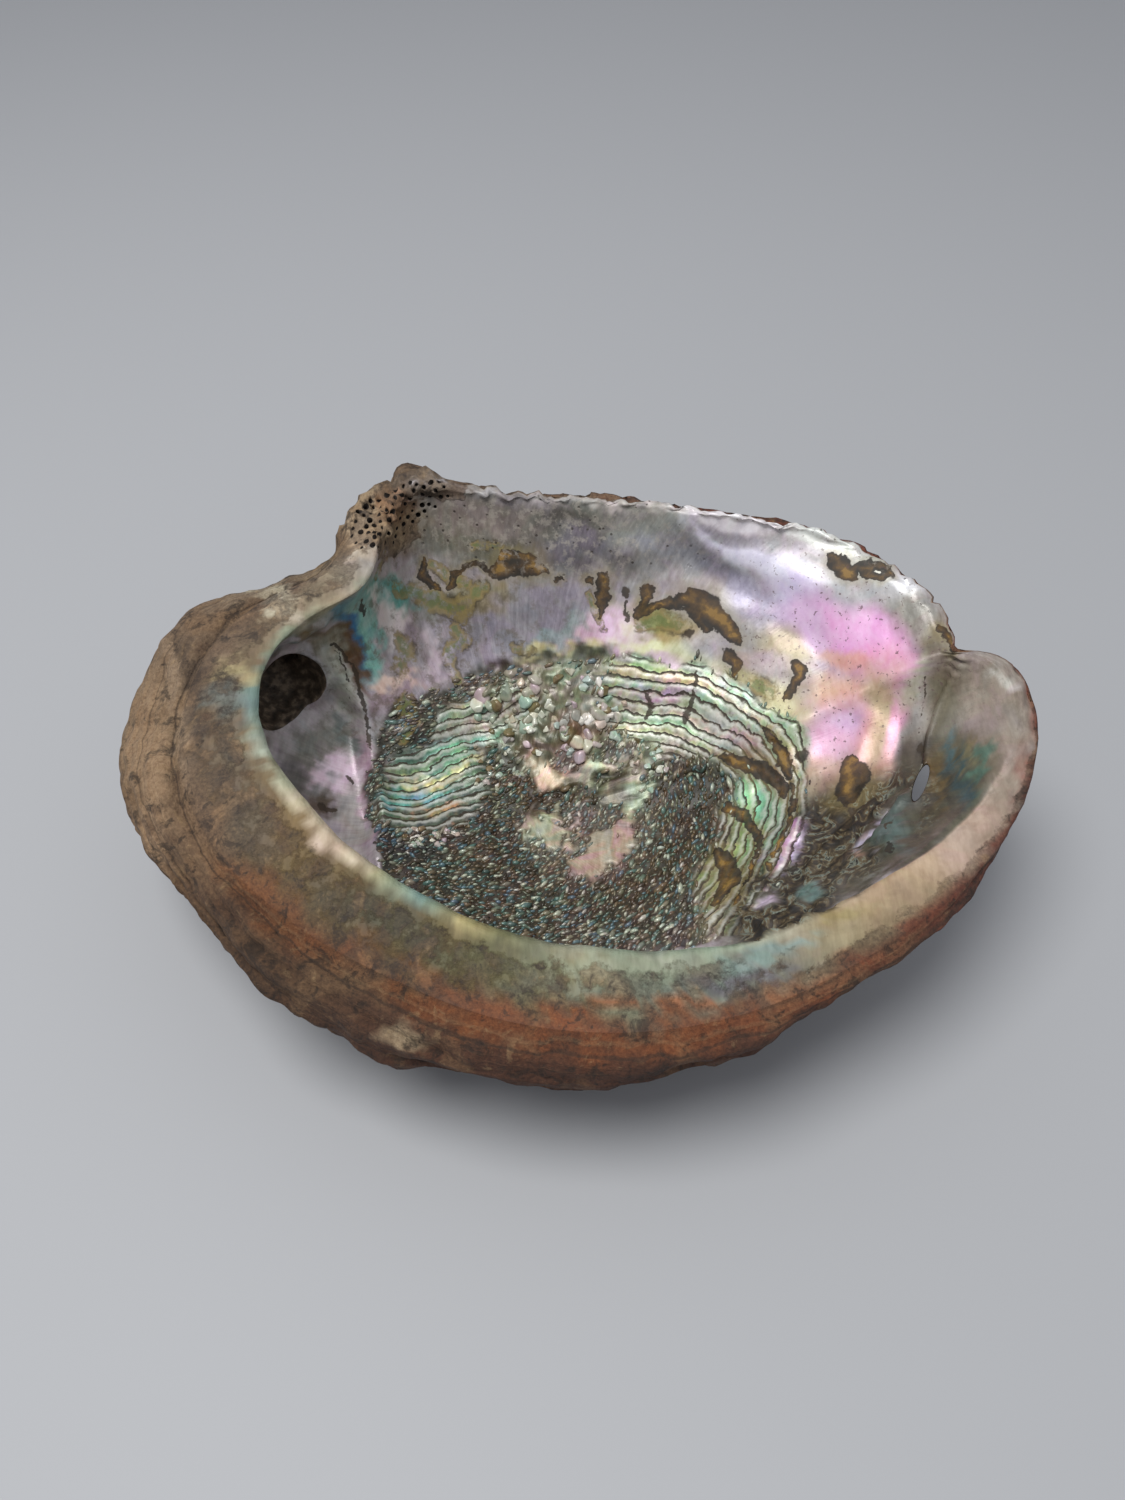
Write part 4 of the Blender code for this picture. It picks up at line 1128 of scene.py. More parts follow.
def make_tint(points, part, share, bearing, zones, thick_lip):
    """The painted colour of each vertex, and how much of it is lip or back."""
    u, v = in_photo(points)
    bent = bent_places(points, u, v)
    scar = zones["inside"][:, None]
    pearl = paint(PEARL_STROKES, *bent, np.tile(colour(BARE_PEARL), (len(u), 1)))
    pearl = pearl * (1 - scar) + paint(SCAR_STROKES, *bent, pearl) * scar
    pearl = paint(TROUGH_STROKES, *bent, pearl)
    # Painted shade: the sunk bed between the grains is darkened.
    grain_bed_shade = zones["grains"][:, None] * GRAIN_BED_SHADE_COVER
    pearl = pearl * (1 - grain_bed_shade) + colour(GRAIN_BED_SHADE_COLOUR) * grain_bed_shade
    wobble = rough(points, (0.12, 9, 95), (0.08, 3, 96))
    outside = paint(OUTER_STROKES, *bent, paint_outside(part, share, bearing, wobble))
    pearl = paint({"flange": OUTER_STROKES["flange"]}, *bent, pearl)
    rim = np.where(part == "lip", np.maximum(thick_lip, fade(share + wobble, 0.35, 0.95)),
                   fade(share, 0.965, 0.99) * thick_lip)
    rim[part == "back"] = 1
    return pearl * (1 - rim[:, None]) + outside * rim[:, None], rim


places = in_mouth(surface)
zones = scar_zones(places, *in_photo(places))
thick_lip = band(in_degrees(bearing), *FULL_LIP)
tint, rim = make_tint(places, part, share, bearing, zones, thick_lip)
print("painted", len(tint), "vertices,", int((rim > 0.5).sum()), "of them lip or back")

# %% [markdown]
# The fields say where each effect belongs: where pearl has its sheen, where pores, flecks, grime and crust
# lie, how far a place has grown, and in which direction the streaks run.

# %% Fields for the finishes
SHELF_SEEN, RIGHT_LOBE_SEEN = ((520, 525), (180, 46), 6), ((990, 725), (62, 90), -24)
FLANGE_SEEN = (((432, 482), (44, 10), 0), ((378, 518), (38, 32), 0))
FLECKS_SEEN, SHINY_SEEN = ((850, 660), (130, 150), 30), ((840, 660), (140, 150), 30)
GRIME_SEEN = ((400, 640), (170, 120), 0)
STREAK_RADIUS, STREAK_LENGTH = 80, 9


def make_fields(points, part, share, bearing):
    """Every value that the finishes read at each vertex of the ball."""
    u, v = in_photo(points)
    bent = bent_places(points, u, v)
    inside, lip, back = part == "inside", part == "lip", part == "back"
    degrees = in_degrees(bearing)
    broken = band(degrees, 12, 30, 112, 122) * np.where(lip, 1 - share, fade(share, 0.9, 0.97))
    shelf, lobe = spot(*bent, *SHELF_SEEN, soft=0.4), spot(u, v, *RIGHT_LOBE_SEEN)
    trough = trough_mask(u, v)
    healed = np.maximum.reduce([1 - fade(line_distance(u, v, line)[0], 0.8 * width, 1.2 * width)
                                for line, width, _ in HEALED_SEEN])
    flange = np.maximum(*(spot(*bent, *seen) for seen in FLANGE_SEEN))
    grimy = spot(*bent, *GRIME_SEEN, soft=0.5) * (1 - zones["inside"])
    worn_lip = 0.55 * fade(share, 0.1, 0.35) * thick_lip * (1 - 0.8 * fade(degrees, 292, 318))
    dull = np.maximum.reduce([shelf, 0.9 * lobe, 0.6 * zones["grains"]])
    only_inside = {
        "plate_count": plate_count(points), "plates": zones["plates"], "mottle": trough * (1 - healed),
        "flecks": spot(u, v, *FLECKS_SEEN, soft=0.4) * (1 - trough), "grime": np.maximum(grimy, 0.7 * lobe),
        "polish": np.maximum(spot(u, v, *SHINY_SEEN, soft=0.4), lobe),
    }
    fields = {name: np.where(inside, values, 0) for name, values in only_inside.items()} | {
        "on_pearl": np.where(inside, 1 - fade(share, 0.97, 1) * thick_lip, lip * (1 - thick_lip)),
        "growth": np.where(back, share, 1.0),
        "crusty": np.where(back, 1.0, np.maximum(lip * np.maximum(fade(share, 0.5, 1.0), worn_lip), flange)),
        "sheen": np.where(inside, 1 - 0.75 * dull, 0.25 * (1 - thick_lip)) * (1 - 0.7 * rim),
        "pores": np.where(inside, np.maximum(shelf, broken), lip * broken),
        "flash": np.where(inside, 0.25 + 0.6 * zones["inside"], 0.15),
        "streak_x": STREAK_RADIUS * MM * np.cos(bearing), "streak_y": STREAK_RADIUS * MM * np.sin(bearing),
        "streak_z": STREAK_LENGTH * MM * share,
    }
    return fields


fields = make_fields(places, part, share, bearing)
print("fields:", ", ".join(fields))

# %% [markdown]
# ## Node helpers
#
# Finishes are built from a handful of nodes: arithmetic on masks, noise, ramps of colour and mixes. These
# helpers keep each of them to one line, so that a finish reads from its lowest layer to its highest.

# %% Arithmetic with nodes
class Arithmetic:
    """A shader node tree with short ways to add nodes that work with numbers, masks and colours."""

    def __init__(self, tree):
        self.tree = tree

    def add(self, kind, inputs=(), **settings):
        """Adds a node. Inputs are pairs of a socket's name or number and a value or another socket."""
        made = self.tree.nodes.new(kind)
        for name, value in settings.items():
            setattr(made, name, value)
        for name, value in dict(inputs).items():
            self.feed(made.inputs[name], value)
        return made

    def feed(self, socket, value):
        """Links another socket, or sets a plain value."""
        if isinstance(value, bpy.types.NodeSocket):
            self.tree.links.new(value, socket)
        elif isinstance(value, np.ndarray):
            socket.default_value = (*value, 1.0)
        else:
            socket.default_value = value

    def use(self, group, inputs):
        """A shared group at work, as its outputs."""
        return self.add("ShaderNodeGroup", inputs, node_tree=group.tree).outputs

    def math(self, operation, first, second=0.0, third=0.0):
        """One step of arithmetic."""
        inputs = {0: first, 1: second, 2: third}
        return self.add("ShaderNodeMath", inputs, operation=operation).outputs[0]

    def both(self, first, *others):
        """The product of several masks."""
        for other in others:
            first = self.math("MULTIPLY", first, other)
        return first

    def rest(self, mask):
        """1 where a mask is 0, and 0 where it is 1."""
        return self.math("SUBTRACT", 1.0, mask)

    def vector(self, operation, first, second, third=(0.0, 0.0, 0.0)):
        """One step of arithmetic with vectors."""
        made = self.add("ShaderNodeVectorMath", {0: first, 1: second, 2: third}, operation=operation)
        return made.outputs["Value" if operation in ("DOT_PRODUCT", "DISTANCE") else "Vector"]

    def between(self, value, start, end):
        """0 at start, 1 at end."""
        inputs = {"Value": value, "From Min": start, "From Max": end}
        return self.add("ShaderNodeMapRange", inputs, interpolation_type="SMOOTHSTEP").outputs["Result"]

    def mix(self, amount, first, second, blend="MIX"):
        """Mixes two colours."""
        made = self.add("ShaderNodeMix", data_type="RGBA", blend_type=blend)
        for name, value in (("Factor_Float", amount), ("A_Color", first), ("B_Color", second)):
            self.feed(next(s for s in made.inputs if s.identifier == name), value)
        return next(s for s in made.outputs if s.identifier == "Result_Color")

    def lay(self, look, mask, cover, paint, blend="MIX"):
        """Lays a paint over a look where a mask is, at most this densely."""
        paint = colour(paint) if isinstance(paint, str) else paint
        return self.mix(self.math("MULTIPLY", mask, cover), look, paint, blend)


print("arithmetic:", ", ".join(name for name in vars(Arithmetic) if not name.startswith("_")))

# %% [markdown]
# The second half of the helpers reads what is stored at the vertices and makes patterns. Every size of a
# pattern is given in millimetres, because the places are in metres on the piece itself.

# %% Places, patterns and ramps
class Graph(Arithmetic):
    """A node tree that also reads places and stored values, and makes noise and ramps of colour."""

    def value(self, name):
        """A smooth value stored at the vertices."""
        return self.add("ShaderNodeAttribute", attribute_name=name).outputs["Fac"]

    def tint(self, name):
        """A colour stored at the vertices."""
        return self.add("ShaderNodeAttribute", attribute_name=name).outputs["Color"]

    def noise(self, *settings, **more):
        """Noise as a value."""
        return self.noise_node(*settings, **more).outputs["Fac"]

    def noise_node(self, where, size, detail=3.0, distortion=0.0, roughness=0.55):
        """Noise whose lumps are about this many millimetres."""
        inputs = {"Vector": where, "Scale": 1 / (size * MM), "Detail": detail, "Distortion": distortion,
                  "Roughness": roughness}
        return self.add("ShaderNodeTexNoise", inputs)

    def strayed(self, place, source, reach):
        """Places moved by up to half this many millimetres by a noise."""
        middle, scale = (0.5, 0.5, 0.5), (reach * MM, reach * MM, reach * MM)
        offset = self.vector("SUBTRACT", source.outputs["Color"], middle)
        return self.vector("MULTIPLY_ADD", offset, scale, place)

    def cells(self, where, size):
        """The distance to the nearest of many scattered points."""
        inputs = {"Vector": where, "Scale": 1 / (size * MM)}
        return self.add("ShaderNodeTexVoronoi", inputs, feature="F1").outputs["Distance"]

    def ramp(self, value, stops):
        """A colour ramp from pairs of a position and a colour code."""
        made = self.add("ShaderNodeValToRGB", {0: value})
        marks = made.color_ramp.elements
        while len(marks) < len(stops):
            marks.new(0.5)
        for mark, (position, code) in zip(marks, stops):
            mark.position = position
            mark.color = (*colour(code), 1)
        return made.outputs["Color"]

    def place(self):
        """Where a point lies on the piece."""
        return self.add("ShaderNodeTexCoord").outputs["Object"]


print("patterns:", ", ".join(name for name in vars(Graph) if not name.startswith("_")))

# %% [markdown]
# A group and a material are both node trees, so both are handed out as a graph. A bump gives a finish its
# fine relief without any faces.

# %% Groups and finishes
def new_group(name, inputs, outputs):
    """A shared node group with its sockets, as a graph and the nodes that carry its inputs and outputs."""
    tree = bpy.data.node_groups.new(name, "ShaderNodeTree")
    for direction, sockets in (("INPUT", inputs), ("OUTPUT", outputs)):
        for socket, kind in sockets:
            tree.interface.new_socket(socket, in_out=direction, socket_type="NodeSocket" + kind)
    graph = Graph(tree)
    return graph, graph.add("NodeGroupInput").outputs, graph.add("NodeGroupOutput").inputs


def new_finish(name):
    """A material with its graph and its Principled shader."""
    finish = bpy.data.materials.new(name)
    finish.use_nodes = True
    return finish, Graph(finish.node_tree), finish.node_tree.nodes["Principled BSDF"]


def bumpy(graph, shader, height, strength, distance):
    """Gives a shader bumps from a height, up to this many millimetres."""
    made = graph.add("ShaderNodeBump", {"Height": height, "Strength": strength, "Distance": distance * MM})
    graph.feed(shader.inputs["Normal"], made.outputs["Normal"])


print("materials before the first finish:", len(bpy.data.materials))

# %% [markdown]
# ## Shared effects
#
# Real nacre takes its colours from its own thin layers, which no plain paint gives. The shimmer imitates
# them with soft clouds of pink, green, gold and blue over the painted colour, and with fine silky streaks.
# It is a group, because the bowl, the grains and the nodules all use it, each with its own strength.

# %% Shimmer of pearl
CLOUD_HUES = [(0.30, "9cb8c0"), (0.42, "a6c4ac"), (0.5, "c4bc98"), (0.58, "d0a4b8"), (0.7, "b4a8c8")]
SILK_STRETCH = (1.0, 0.22, 0.6)
pearl, given, gives = new_group("pearl_shimmer", [("Place", "Vector"), ("Tint", "Color"), ("Flash", "Float")],
                                [("Colour", "Color")])
clouds = pearl.noise(given["Place"], 8, detail=5, distortion=0.8)
hues = pearl.ramp(clouds, CLOUD_HUES)
shimmer = pearl.lay(given["Tint"], given["Flash"], 0.5, hues, "OVERLAY")
silk = pearl.noise(pearl.vector("MULTIPLY", given["Place"], SILK_STRETCH), 1.1, detail=5)
light = pearl.between(silk, 0.25, 0.75)
amount = pearl.math("MULTIPLY_ADD", given["Flash"], 0.4, 0.15)
shimmer = pearl.mix(amount, shimmer, pearl.ramp(light, [(0.0, "3a3a3a"), (1.0, "f4f4f4")]), "SOFT_LIGHT")
pearl.feed(gives["Colour"], shimmer)
print("pearl shimmer:", len(pearl.tree.nodes), "nodes")

# %% [markdown]
# The crust is a stack of thin earthy layers, each laid where one of three noises passes a limit: broad
# blotches, small patches, and bands along the growth of the shell. The same noises give it its height.

# %% Crust
# The columns are the noise, where its layer starts and ends, how densely it covers, and its colour.
CRUST_LAYERS = (("blotch", 0.50, 0.62, 0.4, "876a4c"), ("blotch", 0.46, 0.36, 0.5, "4c3222"),
                ("patch", 0.48, 0.38, 0.7, "2c2118"), ("patch", 0.57, 0.67, 0.4, "a08662"),
                ("bands", 0.47, 0.36, 0.55, "382a20"), ("bands", 0.56, 0.66, 0.3, "997d5c"))
GROWTH_BANDS = 55.0
crust, given, gives = new_group("crust", [("Place", "Vector"), ("Tint", "Color"), ("Growth", "Float")],
                                [("Colour", "Color"), ("Height", "Float")])
blotch = crust.noise(given["Place"], 16, detail=6, distortion=0.8)
patch = crust.noise(given["Place"], 4.2, detail=8, roughness=0.7, distortion=0.5)
grit = crust.noise(given["Place"], 0.9, detail=6, roughness=0.75)
wavy = crust.math("MULTIPLY_ADD", blotch, 0.05, given["Growth"])
along_growth = crust.add("ShaderNodeCombineXYZ", {0: crust.math("MULTIPLY", wavy, GROWTH_BANDS)}).outputs[0]
bands = crust.noise(along_growth, 1000.0, detail=5)
earth = given["Tint"]
noises = {"blotch": blotch, "patch": patch, "bands": bands}
for name, start, end, cover, code in CRUST_LAYERS:
    earth = crust.lay(earth, crust.between(noises[name], start, end), cover, code)
earth = crust.mix(0.6, earth, crust.ramp(grit, [(0.35, "1c1814"), (0.65, "d0ccc4")]), "SOFT_LIGHT")
crust.feed(gives["Colour"], earth)
crust_height = crust.math("MULTIPLY_ADD", patch, 1.6, crust.math("MULTIPLY_ADD", bands, 1.4, grit))
crust.feed(gives["Height"], crust_height)
print("crust:", len(crust.tree.nodes), "nodes")

# %% [markdown]
# A blot measures how deep a place lies in one link of a stain: 1 on the line between its two ends, 0 at its
# border and below 0 outside. The nearest point of the link is found with two products of vectors.

# %% Blot
blot, given, gives = new_group("blot", [
    ("Place", "Vector"), ("From", "Vector"), ("Way", "Vector"), ("Share", "Vector"), ("Half Width", "Float"),
    ("Widening", "Float")], [("Depth", "Float")])
from_start = blot.vector("SUBTRACT", given["Place"], given["From"])
along = blot.vector("DOT_PRODUCT", from_start, given["Share"])
along = blot.add("ShaderNodeClamp", {"Value": along}).outputs[0]
nearest_way = blot.add("ShaderNodeVectorMath", {0: given["Way"], "Scale": along}, operation="SCALE")
away = blot.vector("DISTANCE", from_start, nearest_way.outputs[0])
half_width = blot.math("MULTIPLY_ADD", given["Widening"], along, given["Half Width"])
blot.feed(gives["Depth"], blot.math("SUBTRACT", 1.0, blot.math("DIVIDE", away, half_width)))
print("shared groups:", ", ".join(group.name for group in bpy.data.node_groups))

# %% [markdown]
# ## Finish of the bowl
#
# The finish is laid on from below upward, as a painter would. First comes the painted pearl with its
# shimmer. Over it lie the plates of the scar: each has a hue of its own, a lit edge, a shadow below the
# next one and a thin dark line where it ends.

# %% Pearl and plates
PLATE_HUES = [(0.1, "9cb8b8"), (0.3, "a4c4ac"), (0.5, "ccc8a4"), (0.7, "ccb0b8"), (0.9, "b4b0b4")]
nacre, g, shader = new_finish("nacre")
place = g.place()
look = g.use(pearl, {"Place": place, "Tint": g.tint("tint"), "Flash": g.value("flash")})["Colour"]
fine_noise = g.noise_node(place, 1.6, detail=4)
fine, coarse = fine_noise.outputs["Fac"], g.noise(place, 5.0, detail=4)
plates, on_pearl = g.value("plates"), g.value("on_pearl")
count = g.math("ADD", g.value("plate_count"), g.math("MULTIPLY_ADD", fine, 0.5, -0.25))
part_of_plate = g.math("FRACT", count)
own_number = g.add("ShaderNodeTexWhiteNoise", {"W": g.math("FLOOR", count)}, noise_dimensions="1D")
plate_hue = g.math("ADD", own_number.outputs["Value"], g.math("MULTIPLY_ADD", coarse, 1.6, -0.8))
plate_colour = g.ramp(plate_hue, PLATE_HUES)
lit_edge = g.both(g.between(part_of_plate, 0.24, 0.36), g.between(part_of_plate, 0.8, 0.4))
shadow = g.rest(g.between(part_of_plate, 0.1, 0.6))
line = g.both(g.rest(g.between(part_of_plate, 0.14, 0.28)), plates, g.between(fine, 0.18, 0.4))
look = g.lay(look, plates, 0.6, plate_colour, "OVERLAY")
look = g.lay(look, g.both(lit_edge, plates), 0.5, "eeeee4")
look = g.lay(look, g.both(shadow, plates), 0.55, "4c4838")
look = g.lay(look, line, 0.92, "362b1e")
print("pearl and plates:", len(nacre.node_tree.nodes), "nodes")

# %% [markdown]
# The trough is dark and marbled. The rest of the wall has fine streaks that run down from the rim, broad
# light and dark clouds, and a thin grime at the left.

# %% Streaks and grime
MARBLE_COLOURS = [(0.34, "120e09"), (0.44, "2b2114"), (0.5, "403320"), (0.56, "66583e"), (0.6, "7c8478"),
                  (0.65, "231b12")]
marble = g.noise(place, 3.4, detail=6, distortion=1.6)
look = g.lay(look, g.value("mottle"), 0.94, g.ramp(marble, MARBLE_COLOURS))
streak_place = g.add("ShaderNodeCombineXYZ", {axis: g.value("streak_" + "xyz"[axis]) for axis in range(3)})
streaks = g.noise(streak_place.outputs[0], 1.5, detail=6, roughness=0.65)
streak_light = g.ramp(g.between(streaks, 0.3, 0.7), [(0.0, "404040"), (1.0, "d8d8d8")])
streak_cover = g.math("MULTIPLY_ADD", g.value("polish"), -0.24, 0.3)
look = g.lay(look, on_pearl, streak_cover, streak_light, "SOFT_LIGHT")
tone = g.noise(place, 11, detail=7, roughness=0.6, distortion=0.6)
clouded = g.ramp(g.between(tone, 0.3, 0.7), [(0.0, "303030"), (1.0, "e8e8e8")])
look = g.mix(0.3, look, clouded, "SOFT_LIGHT")
grime = g.between(g.noise(place, 4.5, detail=8, roughness=0.72), 0.5, 0.64)
look = g.lay(look, g.both(grime, g.value("grime")), 0.6, "5e5440")
print("with streaks and grime:", len(nacre.node_tree.nodes), "nodes")

# %% [markdown]
# Olive and brown films have crept over the pearl from the rim. Their chains are looked up at strayed
# places, so that their borders are ragged, and the brown ones have a dark rim and a faint halo. Cracks and
# sutures are dark lines, and one dark line along the lobe's left edge is painted shade beside its fold.

# %% Films and dark lines
SHORTEST_WAY = 1e-12


def deepest(graph, place, pairs):
    """How deep a place lies in the nearest of many blots."""
    deepest_yet = None
    for (start, start_half), (end, end_half) in pairs:
        way = end - start
        share = way / max(way.length_squared, SHORTEST_WAY)
        depth = graph.use(blot, {"Place": place, "From": start, "Way": way, "Share": share,
                                 "Half Width": start_half, "Widening": end_half - start_half})["Depth"]
        deepest_yet = depth if deepest_yet is None else graph.math("MAXIMUM", deepest_yet, depth)
    return deepest_yet


strayed = g.strayed(place, fine_noise, 2.2)
strayed = g.strayed(strayed, g.noise_node(place, 6.0, detail=3), 4.5)
olive = deepest(g, strayed, olive_pairs)
thin_film = g.between(g.noise(place, 3.0, detail=7, roughness=0.7), 0.38, 0.54)
olive_film = g.both(g.between(olive, -0.25, 0.15), thin_film, on_pearl)
olive_colour = g.ramp(g.math("ADD", olive, g.math("MULTIPLY_ADD", coarse, 2.0, -1.0)),
                      [(-0.2, "453a22"), (0.1, "6e5f38"), (0.45, "8c7a48"), (0.8, "67703c")])
look = g.lay(look, olive_film, 0.8, olive_colour)
depth = deepest(g, strayed, brown_pairs)
film = g.both(g.between(depth, -0.06, 0.1), on_pearl)
film_colour = g.ramp(g.math("ADD", depth, g.math("MULTIPLY_ADD", coarse, 3.0, -1.5)),
                     [(0.0, "1a1209"), (0.25, "30210e"), (0.55, "463114"), (0.85, "634819"), (1.1, "856428")])
look = g.lay(look, g.both(g.between(depth, -1.4, 0.0), on_pearl), 0.35, "8f7f4c")
look = g.lay(look, film, 0.93, film_colour)
# Dark lines: cracks and sutures, and painted shade along the lobe's left edge.
dark = g.both(g.between(deepest(g, strayed, crack_and_shade_pairs), -0.1, 0.3), on_pearl)
look = g.lay(look, dark, 0.9, g.ramp(coarse, [(0.35, "1c140c"), (0.6, "3a2c1b")]))
print("with films and lines:", len(nacre.node_tree.nodes), "nodes")

# %% [markdown]
# Last come the dark flecks, the pinholes of tiny borers near the rim, painted dark as the shade inside
# them, and the crust where it wears through.
# Dirt, films and crust are dry and dull. Bare pearl is silky and a little metallic.

# %% Specks, crust and shine
PLAIN_ROUGHNESS, SHEEN_SMOOTHS, SHEEN_SHARE, COAT_ROUGHNESS = 0.7, -0.32, 0.16, 0.2
speck = g.between(g.noise(place, 1.1, detail=5, roughness=0.6), 0.61, 0.66)
look = g.lay(look, g.both(speck, g.value("flecks")), 0.75, "5a4442")
# The pinholes are painted dark, as the shade inside holes too small to cut.
pores = g.both(g.rest(g.between(g.cells(place, 2.4), 0.10, 0.17)), g.value("pores"))
look = g.lay(look, pores, 0.8, "2a2019")
dusty = g.both(g.between(g.noise(place, 2.4, detail=6, roughness=0.7), 0.5, 0.62), g.value("pores"))
look = g.lay(look, dusty, 0.45, "a49c90")
crusted = g.use(crust, {"Place": place, "Tint": g.tint("tint"), "Growth": g.value("growth")})
ragged = g.math("MULTIPLY_ADD", g.noise(place, 5.5, detail=8, roughness=0.68), 2.0, -1.0)
worn_through = g.between(g.math("ADD", g.value("crusty"), ragged), 0.36, 0.6)
g.feed(shader.inputs["Base Color"], g.mix(worn_through, look, crusted["Colour"]))

dry = g.math("MULTIPLY", g.value("mottle"), 0.7)
for mask in (film, dark, line, worn_through):
    dry = g.math("MAXIMUM", dry, mask)
sheen = g.both(g.value("sheen"), g.rest(dry))
g.feed(shader.inputs["Roughness"], g.math("MULTIPLY_ADD", sheen, SHEEN_SMOOTHS, PLAIN_ROUGHNESS))
g.feed(shader.inputs["Metallic"], g.math("MULTIPLY", sheen, SHEEN_SHARE))
g.feed(shader.inputs["Coat Weight"], g.math("MULTIPLY", sheen, SHEEN_SHARE))
shader.inputs["Coat Roughness"].default_value = COAT_ROUGHNESS
height = g.math("MULTIPLY_ADD", line, -0.9, g.math("MULTIPLY", fine, 0.35))
marbled = g.math("MULTIPLY", g.value("mottle"), 3.0)
rises = ((pores, -1.5), (marble, marbled), (streaks, 0.5), (crusted["Height"], worn_through))
for rise, scale in rises:
    height = g.math("MULTIPLY_ADD", rise, scale, height)
bumpy(g, shader, height, 0.5, 0.4)
print("the whole finish:", len(nacre.node_tree.nodes), "nodes")

# %% [markdown]
# ## Finish of the back and of the holes
#
# The back is dry and rough: red-brown shell under tan, grey and dark crust, banded along its growth lines.
# The walls of the spire's hollow are dark brown and grainy, and the sponge's pits are painted nearly black
# inside, as shade.

# %% Crust, hollow and pits
BACK_ROUGHNESS, HOLLOW_ROUGHNESS, PIT_ROUGHNESS = 0.82, 0.6, 0.9
HOLLOW_COLOURS = [(0.3, "2c241a"), (0.5, "55483a"), (0.66, "8a7a66")]
PIT_SHADE_COLOUR = "1e1610"
back_finish, g, shader = new_finish("crusted_back")
crusted = g.use(crust, {"Place": g.place(), "Tint": g.tint("tint"), "Growth": g.value("growth")})
g.feed(shader.inputs["Base Color"], crusted["Colour"])
shader.inputs["Roughness"].default_value = BACK_ROUGHNESS
bumpy(g, shader, crusted["Height"], 0.9, 0.7)

cave_finish, g, shader = new_finish("spire_hollow")
grain = g.noise(g.place(), 2.2, detail=5)
g.feed(shader.inputs["Base Color"], g.ramp(grain, HOLLOW_COLOURS))
shader.inputs["Roughness"].default_value = HOLLOW_ROUGHNESS
bumpy(g, shader, grain, 0.8, 0.8)

pit_finish, g, shader = new_finish("sponge_pit")
# The pits' walls are painted nearly black, as shade inside them.
g.feed(shader.inputs["Base Color"], colour(PIT_SHADE_COLOUR))
shader.inputs["Roughness"].default_value = PIT_ROUGHNESS
print("finishes:", ", ".join(finish.name for finish in bpy.data.materials))

# %% [markdown]
# ## The finished shell
#
# Four small tools finish the pieces. One turns a bmesh into a mesh, one shows a mesh in the scene, one
# stores a value at its vertices, and one keeps the shell inside the box of the solid.

# %% Mesh helpers
def to_mesh(made, name):
    """Turns a bmesh into a mesh."""
    mesh = bpy.data.meshes.new(name)
    made.to_mesh(mesh)
    made.free()
    return mesh


def show(mesh, *finishes):
    """A smooth object of the scene from a mesh, with its finishes."""
    mesh.shade_smooth()
    for finish in finishes:
        mesh.materials.append(finish)
    return in_scene(mesh.name, mesh)


def store(mesh, name, values):
    """Stores one value or one colour for each vertex."""
    if np.ndim(values) == 1:
        attribute = mesh.attributes.new(name, "FLOAT", "POINT")
        attribute.data.foreach_set("value", np.asarray(values, np.float32))
    else:
        attribute = mesh.attributes.new(name, "FLOAT_COLOR", "POINT")
        opaque = np.column_stack([values, np.ones(len(values))])
        attribute.data.foreach_set("color", opaque.astype(np.float32).ravel())


def keep_inside(mesh, box, margin=0.05 * MM):
    """Shrinks a mesh a hair where it would stand out of the solid's box."""
    co = np.empty(len(mesh.vertices) * 3, np.float32)
    mesh.vertices.foreach_get("co", co)
    co = co.reshape(-1, 3).astype(float)
    for axis in range(3):
        reach = max(co[:, axis].max() / (box[1][axis] - margin), 1.0)
        if axis < 2:
            reach = max(reach, co[:, axis].min() / (box[0][axis] + margin))
        co[:, axis] /= reach
    mesh.vertices.foreach_set("co", co.astype(np.float32).ravel())


print("finishes so far:", len(bpy.data.materials))

# %% [markdown]
# The cutters are taken out of the ball with a Boolean, which also brings the finish of their walls. The
# values worked out for the ball's vertices are then handed to the cut mesh by nearest place, because the
# cuts made new vertices. The piece takes the place of the packed solid.

# %% Shell piece
shell = show(to_mesh(ball, "abalone_shell"), nacre, back_finish)
cutter_things = []
for name, finish in (("spire_cave", cave_finish), ("breathing_hole", nacre), ("sponge_pits", pit_finish)):
    cutter = show(to_mesh(cutters[name], name), finish)
    boolean = shell.modifiers.new(name, "BOOLEAN")
    boolean.object = cutter
    boolean.solver = "MANIFOLD"
    boolean.operation = "DIFFERENCE"
    boolean.material_mode = "TRANSFER"
    cutter_things.append(cutter)
mesh = bpy.data.meshes.new_from_object(shell.evaluated_get(bpy.context.evaluated_depsgraph_get()))
shell.modifiers.clear()
shell.data = mesh
for cutter in cutter_things:
    bpy.data.objects.remove(cutter)

lookup = KDTree(len(surface))
for number, place in enumerate(surface):
    lookup.insert(place, number)
lookup.balance()
nearest = np.array([lookup.find(vert.co)[1] for vert in mesh.vertices])
keep_inside(mesh, cad_box)
for name, values in ({"tint": tint} | fields).items():
    store(mesh, name, values[nearest])
on_back = (part == "back")[nearest]
slots = {material.name: number for number, material in enumerate(mesh.materials)}
for face in mesh.polygons:
    if face.material_index == slots["nacre"] and all(on_back[v] for v in face.vertices):
        face.material_index = slots["crusted_back"]
mesh.shade_smooth()
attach(shell, "root")
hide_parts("shell")
triangles = sum(len(face.vertices) - 2 for face in mesh.polygons)
print("shell piece:", len(mesh.vertices), "vertices,", triangles, "triangles")

# %% [markdown]
# ## Grains of the scar
#
# Thousands of small pearly grains stream across the middle of the scar. Each is a low twenty-sided bead,
# stretched along the stream and half sunk into its bed. Twenty sides are enough, because a grain is a
# millimetre long.

